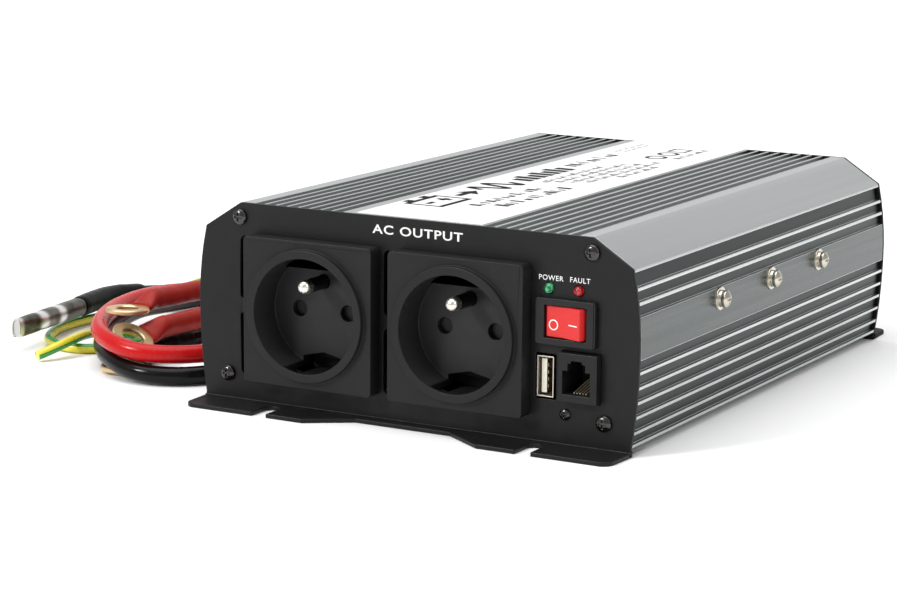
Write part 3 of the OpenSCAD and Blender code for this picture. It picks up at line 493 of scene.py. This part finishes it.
# stud, turn round it in degrees, place in the pair, and the free lug's tilt in degrees, where there is one
FITTINGS = {"red_cable_long": (PLUS, 0, 1, -32), "red_cable_short": (PLUS, -22, 0, 0),
            "black_cable_long": (MINUS, -30, 1, 0), "black_cable_short": (MINUS, -48, 0, None)}
ROUTES = {
    "black_cable_long": [
        (-63.4, 116.4, 22.5), (-78, 116.5, 14.2), (-95, 115.5, 6.8), (-115, 110, 3.8), (-136, 99, 3.5),
        (-153, 81, 3.5), (-165, 57, 3.5), (-173, 28, 3.5), (-175, 0, 4.8), (-171, -29, 7.2),
        (-162, -56, 7.4), (-148.5, -82, 7.3), (-132.5, -99.5, 6), (-116, -107, 4.2), (-101.5, -104, 3.5),
        (-92, -93, 3.5), (-88, -75, 3.5), (-88, -46, 3.5), (-96, -21.5, 3.5), (-110.5, -15, 3.5),
        (-125, -21.5, 3.6), (-131.5, -37, 3.9), (-132, -53, 4.3), (-131.2, -68, 4.3)],
    "red_cable_long": [
        (-93, 116.4, 36), (-107, 116, 34.5), (-121, 111, 28), (-134, 100, 18.5), (-145, 83, 10),
        (-153, 60, 4.8), (-157.5, 35, 4.6), (-160.5, 14, 7.6), (-163.5, -8, 12.2), (-164.5, -31, 14),
        (-161.5, -53, 14.3), (-153.5, -74, 14.2), (-141, -93.5, 13.9), (-127.5, -104, 12.6),
        (-113.5, -106, 11), (-101, -99, 10.4), (-92, -85, 10.2), (-88.3, -66, 10.2), (-88, -48, 10.2),
        (-89.8, -33, 10.3), (-95.5, -21, 10.5), (-106.5, -16, 11.1), (-117.5, -20.5, 12), (-123, -32, 12.6),
        (-125.4, -46, 12.9), (-127, -60, 12.9)],
    "red_cable_short": [
        (-91, 109.9, 25.9), (-106, 109.5, 19.4), (-119, 101, 12.4), (-126.5, 86, 6.4), (-129.5, 64, 3.8),
        (-131, 44, 4), (-132, 24, 6.8), (-133.4, 4, 11.8), (-135, -15, 16.8), (-136.4, -33, 19.7),
        (-137.8, -51, 20.3)],
    "black_cable_short": [
        (-58, 109.9, 15.9), (-64.5, 110.7, 9.6), (-74, 114, 5.4), (-85, 119.5, 3.8), (-98, 124.5, 3.5),
        (-115, 127.5, 3.5), (-137, 123.5, 3.5), (-158, 111, 3.5), (-173, 93, 3.5), (-181, 72, 3.5),
        (-184.5, 50, 3.5), (-187.5, 29, 3.7), (-193, 9, 5.6), (-195.4, -14, 8), (-191, -40, 8.4)],
    "earth_wire": [
        (-87, 105.7, 54), (-98, 105, 52.5), (-108, 99, 47), (-115, 89, 39), (-124, 65, 21),
        (-133, 47, 12.4), (-146, 37, 11.6), (-160, 29, 12.4), (-173, 18, 11.2), (-183, 2, 5.2),
        (-189.5, -16, 2.2), (-193, -34, 1.9), (-191.5, -53, 1.9), (-182, -71, 1.9), (-167, -78.5, 1.9),
        (-155.5, -73.5, 1.9), (-150.5, -63, 1.9), (-151.5, -53, 1.9), (-158.5, -45.5, 1.9),
        (-166.5, -46, 2.1), (-170.6, -54, 3.1), (-167.6, -63, 4.6), (-164.2, -73, 5.9), (-162.5, -83, 5.8),
        (-163.5, -91, 4.2), (-166.3, -97.5, 2.4)],
}


def end_frame(route):
    """Place and turn of a cable's far end: origin at the end point, +X onwards along the cable."""
    a, b = route[-2:]
    d = (Vector(b) - Vector(a)).normalized()
    turn = Matrix.Rotation(math.atan2(d.y, d.x), 4, "Z") @ Matrix.Rotation(-math.asin(d.z), 4, "Y")
    return moved(*b) @ turn


def make_cables():
    """The five cables, with the lugs, sleeves and terminal that each one carries."""
    for name, route in ROUTES.items():
        earth = name == "earth_wire"
        radius = EARTH_R if earth else CABLE_R
        material = "earth_pvc" if earth else ("red_pvc" if "red" in name else "black_pvc")
        path = smooth_path(route)
        bm = tube(path, radius, 18 if earth else 26)
        cable = add_piece(name + "_sheath", mesh_from(bm, name), material, "root", [name])
        make_fittings(name, path)


def stud_place(stud, turn, level):
    """Place of a lug on a stud: the inner one of the pair is level 0."""
    y = REAR_Y + COLLAR + LUG_T * (level + 0.5) + LUG_GAP * (level + 1)
    return moved(stud[0], y, stud[1]) @ turned(turn, "Y") @ turned(90 if level == 0 else -90, "X")


def end_place(route, tilt):
    """Place of a ring lug at a cable's far end: origin at the middle of the ring."""
    return end_frame(route) @ turned(tilt, "X") @ moved(LUG_REACH, 0, LUG_T / 2 - BARREL_R)


def make_fittings(name, path):
    """The pieces on one cable, at its stud and at its free end."""
    if name == "earth_wire":
        bm = bmesh.new()
        place = moved(*EARTH_LUG_AT) @ turned(90, "X")
        ring_lug(bm, place, ring_r=4.6, hole_r=2.15, t=0.9, barrel=1.8, reach=14)
        return [add_piece("earth_lug_formed", mesh_from(bm, "earth_lug"), "lug_brass",
                          "root", ["earth_lug"])]
    colour = "red" if "red" in name else "black"
    lugs, sleeves = colour + "_lugs", colour + "_sleeves"
    stud, turn, level, tilt = FITTINGS[name]
    places = [stud_place(stud, turn, level)]
    if tilt is not None:
        places.append(end_place(ROUTES[name], tilt))
    bm = bmesh.new()
    for place in places:
        ring_lug(bm, place, LUG_R, LUG_HOLE_R, LUG_T, BARREL_R, LUG_REACH)
    made = [add_piece(name + "_lugs", mesh_from(bm, name + "_lugs"), "lug_brass", "root",
                      [lugs])]
    bm = bmesh.new()
    shrink_sleeve(bm, places[0], path[:10], seed=3.0)
    if tilt is not None:
        shrink_sleeve(bm, places[1], path[::-1][:12], seed=7.0)
    else:
        long_sleeve(bm, path)
        made.append(make_tube_terminal(name))
    made.append(add_piece(name + "_sleeves", mesh_from(bm, name + "_sleeves", 70.0), colour + "_shrink",
                          "root", [sleeves]))
    return made


def loft(bm, sections, sides=32):
    """A closed skin through sections.

    Each is (centre, across, up, half width, half height, squareness, value of 'bright').
    """
    bright = bm.verts.layers.float.get("bright") or bm.verts.layers.float.new("bright")
    rings = []
    for centre, across, up, wide, high, square, glow in sections:
        ring = []
        for k in range(sides):
            a = 2 * math.pi * k / sides
            c, d = math.cos(a), math.sin(a)
            e = 2 / square
            v = bm.verts.new(centre + wide * math.copysign(abs(c) ** e, c) * across
                             + high * math.copysign(abs(d) ** e, d) * up)
            v[bright] = glow
            ring.append(v)
        rings.append(ring)
    for a, b in zip(rings, rings[1:]):
        for k in range(sides):
            bm.faces.new((a[k], a[(k + 1) % sides], b[(k + 1) % sides], b[k]))
    bm.faces.new(rings[0][::-1])
    bm.faces.new(rings[-1])


def ring_lug(bm, place, ring_r, hole_r, t, barrel, reach):
    """A pressed ring with rounded rims, and a neck that swells into a round crimped barrel. Sizes in mm."""
    sides, edge = 48, 0.22 * t
    below = [(hole_r, -t / 2 + edge), (hole_r + edge, -t / 2),
             (ring_r - edge, -t / 2), (ring_r, -t / 2 + edge)]
    outline = below + [(r, -z) for r, z in below[::-1]]
    rings = []
    for k in range(sides):
        a = 2 * math.pi * k / sides
        rings.append([bm.verts.new(spot(place, r * math.cos(a), r * math.sin(a), z)) for r, z in outline])
    for a, b in zip(rings, rings[1:] + rings[:1]):
        for k in range(len(outline)):
            m = (k + 1) % len(outline)
            bm.faces.new((a[k], a[m], b[m], b[k]))
    turn = place.to_3x3()
    across, up = turn @ Vector((0, 1, 0)), turn @ Vector((0, 0, 1))
    lift = barrel - t / 2
    # share of the way to the ring's middle, width and rise as shares of the barrel's, squareness
    profile = [(0.0, 1.0, 1.0, 2.0), (0.10, 1.0, 1.0, 2.0), (0.20, 0.93, 1.0, 2.0), (0.30, 0.93, 1.0, 2.0),
               (0.38, 1.0, 1.0, 2.0), (0.50, 0.99, 0.9, 2.2), (0.58, 1.0, 0.55, 2.8), (0.66, 1.05, 0.18, 3.6),
               (0.74, 1.2, 0.0, 4.5), (0.80, 1.35, 0.0, 4.5)]
    sections = []
    for share, wide, rise, square in profile:
        x = -reach * (1 - share)
        if x > -(hole_r + 0.4):
            break
        centre, high = spot(place, x, 0, lift * rise), t / 2 * (1 - rise) + barrel * rise
        sections.append((centre, across, up, barrel * wide * MM, high * MM, square, 0.0))
    loft(bm, sections)


def shrink_sleeve(bm, place, line, seed):
    """Heat-shrink over a lug's barrel and the cable behind it: creased, and drawn flat towards the ring.

    line is the cable's path from the lug, and seed sets the creases.
    """
    turn = place.to_3x3()
    across, up = turn @ Vector((0, 1, 0)), turn @ Vector((0, 0, 1))
    lift = BARREL_R - LUG_T / 2
    spots = []
    for i in range(len(line) - 1, 0, -1):
        t = (line[i - 1] - line[i]).normalized()
        side = (across - across.dot(t) * t).normalized()
        spots.append((line[i], side, side.cross(t) * (1 if side.cross(t).dot(up) > 0 else -1), 0.0))
    for x in SLEEVE_STATIONS:
        flat = eased(x, -14.0, 6.5)
        spots.append((spot(place, x, 0, lift * (1 - flat) + 0.2 * flat), across, up, flat))
    sections = []
    for i, (centre, side, rise, flat) in enumerate(spots):
        wide = BARREL_R + SLEEVE_WALL + SLEEVE_SPREAD * flat
        high = (BARREL_R + SLEEVE_WALL) * (1 - flat) + SLEEVE_FLAT * flat
        crease = noise.noise(Vector((seed, i * 0.45, 0.3)))
        fold = noise.noise(Vector((seed + 5.0, i * 0.8, 4.1)))
        rim = 0.12 if i in (0, len(spots) - 1) else 0.0
        square = 2.0 + 0.5 * flat + 0.25 * abs(fold)
        sections.append((centre, side, rise, (wide + 0.22 * crease - rim) * MM,
                         (high + 0.26 * fold - 0.12 * crease - rim) * MM, square, 0.0))
    loft(bm, sections)


def long_sleeve(bm, path):
    """The thick sleeve over the end of the short black cable and the root of its tube terminal."""
    steps = 30
    line = path[-(steps + 1):]
    sections = []
    for i, (point, (_, side, rise)) in enumerate(zip(line, frames_along(line))):
        wall = 1.0 - 0.12 * i / steps - (0.3 if i in (0, steps) else 0.0)
        radius = CABLE_R + wall * MM
        swell = 0.14 * MM * noise.noise(Vector((2.0, i * 0.3, 1.0)))
        sections.append((point, side, rise, radius + swell, radius * 0.97 - swell, 2.1, 0.0))
    loft(bm, sections)


TUBE_LENGTH, TUBE_WIDE, TUBE_HIGH = 50, 3.58, 3.60  # the last two are half sizes
PRESSED_FROM, PRESSED_REACH, PRESSED_IN = 30, 18, 1.75
BRIGHT_BANDS = ((19, 2.6), (33, 2.8), (49, 2.0))  # middle and half width along the tube


def make_tube_terminal(name):
    """A tinned tube, dressed flat towards its far end, which is pressed shut into a shallow dish."""
    place = end_frame(ROUTES[name])
    turn = place.to_3x3()
    across, up = turn @ Vector((0, 1, 0)), turn @ Vector((0, 0, 1))
    bm = bmesh.new()
    sections = []
    for x in range(TUBE_LENGTH + 1):
        band = max(math.exp(-((x - c) / w) ** 4) for c, w in BRIGHT_BANDS)
        dent = 0.10 * math.sin(x * 0.42) + 0.08 * noise.noise(Vector((x * 0.2, 3.0, 1.0)))
        flat = eased(x, PRESSED_FROM, PRESSED_REACH)
        rim = 0.2 if x in (0, TUBE_LENGTH) else 0.0
        sections.append((spot(place, x), across, up, (TUBE_WIDE + dent - PRESSED_IN * flat - rim) * MM,
                         (TUBE_HIGH - dent * 0.5 + 0.15 * flat - rim) * MM, 2.3 + 0.5 * flat, band))
    for depth, wide, high in ((0.1, 1.4, 3.3), (0.6, 1.2, 3.1)):
        sections.append((spot(place, TUBE_LENGTH - depth), across, up, wide * MM, high * MM, 2.4, 0.6))
    loft(bm, sections)
    return add_piece("tube_terminal_dressed", mesh_from(bm, "tube_terminal"), "tube_tin",
                     "root", ["tube_terminal"])


# ---- stage ----
def area_light(name, at, towards, size, power):
    data = bpy.data.lights.new(name, "AREA")
    data.shape, data.size, data.size_y = "RECTANGLE", size[0], size[1]
    data.energy = power
    lamp = bpy.data.objects.new(name, data)
    lamp.location = at
    lamp.rotation_euler = (Vector(towards) - Vector(at)).to_track_quat("-Z", "Y").to_euler()
    scene.collection.objects.link(lamp)


def sun(name, towards, strength, softness):
    """A sun that shines along towards, with its width in degrees as softness."""
    data = bpy.data.lights.new(name, "SUN")
    data.energy, data.angle = strength, math.radians(softness)
    lamp = bpy.data.objects.new(name, data)
    lamp.rotation_euler = Vector(towards).to_track_quat("-Z", "Y").to_euler()
    scene.collection.objects.link(lamp)


def make_stage():
    world = bpy.data.worlds.new("studio")
    scene.world = world
    world.use_nodes = True
    background = world.node_tree.nodes["Background"]
    background.inputs["Color"].default_value = (1.0, 1.0, 1.0, 1.0)
    background.inputs["Strength"].default_value = 0.5
    mesh = bpy.data.meshes.new("floor")
    half = 8.0
    corners = [(-half, -half, 0), (half, -half, 0), (half, half, 0), (-half, half, 0)]
    mesh.from_pydata(corners, [], [(0, 1, 2, 3)])
    floor = bpy.data.objects.new("floor", mesh)
    scene.collection.objects.link(floor)
    material = Nodes("floor_paint")
    material.link(material.ranged(material.noise(3.0), 0.85, 0.9), material.shader.inputs["Roughness"])
    material.set(Base_Color=(0.92, 0.92, 0.92, 1.0), Specular_IOR_Level=0.1)
    mesh.materials.append(material.material)
    sun("overhead", (0.12, 0.05, -1.0), 1.9, 60.0)
    sun("from_front_left", (0.62, 0.92, -0.75), 1.7, 12.0)
    area_light("right", (1.2, -0.5, 0.9), (0.05, 0, 0.04), (0.5, 0.9), 4.0)
    area_light("behind", (-0.7, 3.2, 1.2), (0.0, 0.0, 0.05), (4.6, 1.9), 11.0)
    scene.view_settings.view_transform = "Standard"


# ---- the inverter ----
# Where the housing's painted light changes: the side's plain band, the height of a rib's outer face, the edge
# between side and shoulder, and the floors of the top grooves. Band and grooves get painted shade, rib faces
# a painted highlight.
BAND_LOW, BAND_HIGH = 31.4 * MM, 45.4 * MM
LAND_HEIGHT, SHOULDER = 1.6 * MM, 61 * MM
FLOOR_LOW, FLOOR_HIGH = 67.5 * MM, 69.0 * MM
HOUSING_LIT_AND_SHADED = ["anodised", "anodised_band_painted_shade", "anodised_groove_painted_shade", "anodised_top_groove_painted_shade", "anodised_edge_painted_highlight"]


def housing_shade_index(c, face):
    """The index into the housing's lit and shaded copies of its anodising (painted highlight or painted
    shade) for a face of the housing with its centre at c.
    """
    heights = [v.co.z for v in face.verts]
    if abs(face.normal.x) > 0.8 and c.z < SHOULDER:
        if max(heights) - min(heights) < LAND_HEIGHT:
            return 4
        return 1 if BAND_LOW < c.z < BAND_HIGH else 2
    return 3 if face.normal.z > 0.9 and FLOOR_LOW < c.z < FLOOR_HIGH else 0


def make_body():
    refined("housing", HOUSING_LIT_AND_SHADED, 0.16, pick=housing_shade_index)
    refined("front_panel", "sheet_steel", 0.3)
    refined("rear_panel", "rear_steel", 0.3)
    refined("bottom_plate", "bare_sheet", 0.3)
    refined("label", "white_film", 0.06)
    refined("panel_screws", "black_screw", 0.1)
    refined("board_screw", "black_screw", 0.08)
    refined("side_screws", "zinc", 0.1)
    refined("side_washers", "zinc", 0.1)


# The socket's round cavity, whose middle is EARTH_UP below the earth pin, and the length of the pin's bright
# tip, behind which the shaft is painted dark as shade.
EARTH_UP, CAVITY_R, CAVITY_MOUTH = 10 * MM, 19.8 * MM, -118.5 * MM
PIN_TIP = 4.2 * MM
CONTACT_DEPTH = 0.32 * MM  # the gold contacts on the USB tongue's side
POST_TOP, POST_BACK = 13.8 * MM, -98.9 * MM  # the bare post beside the front board


def make_front():
    for side in ("left", "right"):
        low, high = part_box(side + "_earth_pin")
        axis = Vector(((low.x + high.x) / 2, (low.z + high.z) / 2 - EARTH_UP))
        # Faces inside the round cavity take the lighter copy: painted light against the cavity's shade.
        refined(side + "_socket", ["socket_black", "socket_cavity_painted_light"], 0.3, pick=lambda c, face:
                int(c.y > CAVITY_MOUTH and (Vector((c.x, c.z)) - axis).length < CAVITY_R))
        refined(side + "_socket_back", "dark_plastic", 0.3)
        tip = low.y + PIN_TIP
        # Behind the bright tip, the pin's shaft takes the dark copy: painted shade.
        refined(side + "_earth_pin", ["pin_nickel", "pin_shaft_painted_shade"], cut_y=tip,
                pick=lambda c, face: int(c.y > tip))
        refined(side + "_shutter", "dark_plastic", 0.15)
    refined("socket_contacts", "brass", 0.1)
    refined("switch_body", "switch_black", 0.25)
    refined("rocker", "rocker_red", 0.35, segments=3)
    refined("contact_blade", "copper", 0.08)
    refined("switch_terminals", "tinned", 0.08)
    refined("usb_shell", "usb_steel", 0.08)
    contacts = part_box("usb_tongue")[1].x - CONTACT_DEPTH
    refined("usb_tongue", ["cream_plastic", "dull_gold"], 0.06, pick=lambda c, face: int(c.x > contacts))
    refined("remote_jack", "dark_plastic", 0.2)
    make_jack_wires()
    refined("power_led", "green_lens")
    refined("fault_led", "red_lens")
    refined("front_board", ["solder_mask", "tinned"], 0.1,
            pick=lambda c, face: int(c.z < POST_TOP and c.y < POST_BACK))


JACK_X, WIRE_PITCH, WIRE_R = 62.8, 1.05, 0.2
WIRE_ROUTE = ((-112.9, 18.8), (-112.2, 19.0), (-110, 19.5), (-106, 20.4), (-102, 21.2))  # y and z in mm


def make_jack_wires():
    """Five thin sprung wires that rise from the mouth of the remote jack towards its back."""
    bm = bmesh.new()
    for i in range(-2, 3):
        x = JACK_X + i * WIRE_PITCH
        line = smooth_path([(x, y, z) for y, z in WIRE_ROUTE], step=0.8, passes=2)
        across, up, radius = Vector((1, 0, 0)), Vector((0, 0, 1)), WIRE_R * MM
        loft(bm, [(p, across, up, radius, radius, 2.0, 0.0) for p in line], sides=10)
    add_piece("jack_contacts_sprung", mesh_from(bm, "jack_contacts"), "spring_gold",
              "root", ["jack_contacts"])


def make_rear():
    refined("fan_frame", "dark_plastic", 0.3)
    refined("fan_rotor", "dark_plastic", 0.2)
    refined("fan_guard", "chrome_wire")
    refined("fan_screws", "black_screw", 0.1)
    low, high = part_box("terminal_collars")
    middle = (low.x + high.x) / 2
    refined("terminal_collars", ["red_insulator", "dark_plastic"], 0.4,
            pick=lambda c, face: int(c.x > middle))
    refined("dc_studs", "brass_thread", 0.3)
    refined("stud_nuts", "tinned", 0.3)
    refined("earth_stud", "brass_thread", 0.2)


CAP_TOP, FUSE_FOOT = 2.5 * MM, 6 * MM
NEUTRAL_LEADS_X, LEAD_REACH = (-26.9 * MM, 29.4 * MM), 3 * MM


def make_inside():
    refined("busbars", "copper", 0.2)
    refined("main_board", "solder_mask", 0.1)
    refined("board_posts", "tinned", 0.1)
    refined("transformer_cores", "ferrite", 0.4)
    refined("transformer_windings", "copper", 0.8, segments=3)
    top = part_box("capacitors")[1].z - CAP_TOP
    refined("capacitors", ["cap_sleeve", "cap_top"], 0.6, segments=3, pick=lambda c, face: int(c.z > top))
    refined("transistors", "dark_plastic", 0.15)
    refined("clamp_bars", "bare_sheet", 0.2)
    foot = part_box("fuses")[0].z + FUSE_FOOT
    refined("fuses", ["dark_plastic", "fuse_green"], 0.3, pick=lambda c, face: int(c.z > foot))
    refined("control_board", "solder_mask", 0.1)
    refined("output_leads", ["lead_brown", "lead_blue"],
            pick=lambda c, face: int(min(abs(c.x - x) for x in NEUTRAL_LEADS_X) < LEAD_REACH))


# ---- printed legends and marks, in millimetres ----
FRONT_Y, LABEL_TOP = -113.0, 69.7
LEGEND_LIFT, LABEL_LIFT, MARK_LIFT = 0.03, 0.02, 0.04  # how far each print stands off what it is on
ROCKER_AT, ROCKER_REST = (58, -112, 41.1), -12
ROCKER_FACE, ROCKER_HALF, ROCKER_DISH = -3.3, 6.7, 0.8  # the rocker's face is a shallow V about its middle


def flat_print(name, shapes, place, material, body="root"):
    """Thin flat shapes: each is a list of points in the print's own plane."""
    bm = bmesh.new()
    for shape in shapes:
        bm.faces.new([bm.verts.new(spot(place, x, y)) for x, y in shape])
    mesh = bpy.data.meshes.new(name)
    bm.to_mesh(mesh)
    bm.free()
    return add_piece(name, mesh, material, body)


def words(name, text, width, height, at, bold):
    """Printed words on the front panel, with their width, height and lower left corner."""
    data = bpy.data.curves.new(name, "FONT")
    data.body, data.size, data.offset, data.space_character = text, 1.0, bold, 1.12
    holder = bpy.data.objects.new(name + "_outline", data)
    scene.collection.objects.link(holder)
    mesh = bpy.data.meshes.new_from_object(holder.evaluated_get(bpy.context.evaluated_depsgraph_get()))
    bpy.data.objects.remove(holder)
    xs, ys = [v.co.x for v in mesh.vertices], [v.co.y for v in mesh.vertices]
    left, foot = min(xs), min(ys)
    wide, high = width / (max(xs) - left), height / (max(ys) - foot)
    for v in mesh.vertices:
        x, z = at[0] + (v.co.x - left) * wide, at[1] + (v.co.y - foot) * high
        v.co = Vector((x, FRONT_Y - LEGEND_LIFT, z)) * MM
    mesh.materials.clear()
    add_piece(name, mesh, "white_ink")


def bar(x0, y0, x1, y1):
    return [(x0, y0), (x1, y0), (x1, y1), (x0, y1)]


def stroke(points, width, closed=False):
    """A line of even width through points, as quads."""
    ends = points + points[:1] if closed else points
    sides = []
    for i, p in enumerate(ends):
        a = ends[i - 1] if i else (ends[-2] if closed else ends[0])
        b = ends[i + 1] if i + 1 < len(ends) else (ends[1] if closed else ends[-1])
        d = Vector((b[0] - a[0], b[1] - a[1])).normalized()
        dx, dy = -d.y * width / 2, d.x * width / 2
        sides.append(((p[0] + dx, p[1] + dy), (p[0] - dx, p[1] - dy)))
    return [[b, d, c, a] for (a, b), (c, d) in zip(sides, sides[1:])]


def circle(cx, cy, r, count=36):
    turns = [2 * math.pi * i / count for i in range(count)]
    return [(cx + r * math.cos(t), cy + r * math.sin(t)) for t in turns]


MARKS_IN_GROUP = 5.5


def ticks(x0, x1, y, height, seed, mark, gap=0.42):
    """A line of small upright marks in groups, as neutral fine print. seed varies their sizes."""
    shapes, x, k = [], x0, 0
    while x + mark < x1:
        level = 0.72 + 0.28 * math.sin(seed + k * 2.3)
        shapes.append(bar(x, y, x + mark * (0.7 + 0.3 * math.sin(k * 1.7 + seed)), y + height * level))
        x += mark + gap
        k += 1
        if k % round(MARKS_IN_GROUP + 2 * math.sin(seed + k)) == 0:
            x += 2.1 * gap
    return shapes


def make_label_print():
    """Battery, arrow, sine wave and bars, then neutral rows, in place of names, ratings and approvals."""
    place = moved(0, 0, LABEL_TOP + LABEL_LIFT) @ turned(90, "Z")
    battery = [*stroke([(-86, 4), (-66, 4), (-66, 17), (-86, 17)], 2.6, True), bar(-83.4, 18, -79, 20.6),
               bar(-73, 18, -68.6, 20.6), bar(-83, 9.8, -78.4, 11.9), bar(-73.6, 9.8, -69, 11.9),
               bar(-72.4, 8.0, -70.2, 13.7)]
    arrow = [bar(-62, 9.6, -55, 12.4), [(-55.4, 6.4), (-48.6, 11), (-55.4, 15.6)]]
    wave = [(-45 + 20 * i / 48, 10.6 + 6.4 * math.sin(math.pi * i / 12)) for i in range(49)]
    big = battery + arrow + stroke(wave, 2.6)
    for i in range(7):
        big.append(bar(-19 + i * 5.4, 5.4, -15 + i * 5.4, 15.4 if i % 2 else 13.0))
    flat_print("label_print_large", big, place, "black_ink")
    fine = ticks(23, 61, 8.6, 6.0, 0.4, mark=2.8, gap=0.8)
    fine += ticks(-78, -30, -6.6, 4.8, 2.1, mark=2.6, gap=0.8)
    fine += ticks(-74, -25, -15.0, 5.6, 1.2, mark=2.9, gap=0.8)
    flat_print("label_print_bold", fine, place, "black_ink")
    small = ticks(67, 94, 13.6, 1.5, 3.3, mark=0.9, gap=0.5)
    small += ticks(70, 92, 10.6, 1.5, 5.3, mark=0.9, gap=0.5)
    for row, (start, end) in enumerate(((-18, 30), (-15, 40), (-14, 44), (-10, 50), (8, 38))):
        small += ticks(start, end, -0.8 - row * 4.4, 3.1, row * 1.9, mark=1.8, gap=0.55)
    for x in (62, 73):
        small += stroke(circle(x, -6.0, 3.6), 1.6, True)
    small += stroke([(80, -9.4), (87, -9.4), (87, -2.6), (80, -2.6)], 1.6, True)
    small += ticks(62, 90, -15.4, 2.8, 0.9, mark=1.7)
    flat_print("label_print_small", small, place, "grey_ink")


def make_prints():
    words("legend_output", "AC OUTPUT", 34.0, 3.0, (-14.3, 63.7), bold=0.016)
    words("legend_power", "POWER", 8.7, 1.65, (47.6, 54.4), bold=0.004)
    words("legend_fault", "FAULT", 7.1, 1.65, (58.7, 54.5), bold=0.004)
    make_label_print()
    pivot = moved(*ROCKER_AT) @ turned(ROCKER_REST, "Z")
    for name, x, z, lean, shapes in (("rocker_ring", -3.9, -0.75, 6.8, stroke(circle(0, 0, 1.55), 0.4, True)),
                                     ("rocker_dash", 3.9, -0.1, -6.8, [bar(-1.9, -0.19, 1.9, 0.19)])):
        y = ROCKER_FACE + ROCKER_DISH * (ROCKER_HALF - abs(x)) / ROCKER_HALF - MARK_LIFT
        face = pivot @ moved(x, y, z) @ turned(lean, "Z") @ turned(90, "X")
        flat_print(name, shapes, face, "white_ink", "rocker")


make_camera()
MATERIALS = make_materials()
make_cables()
make_stage()
make_body()
make_front()
make_rear()
make_inside()
make_prints()
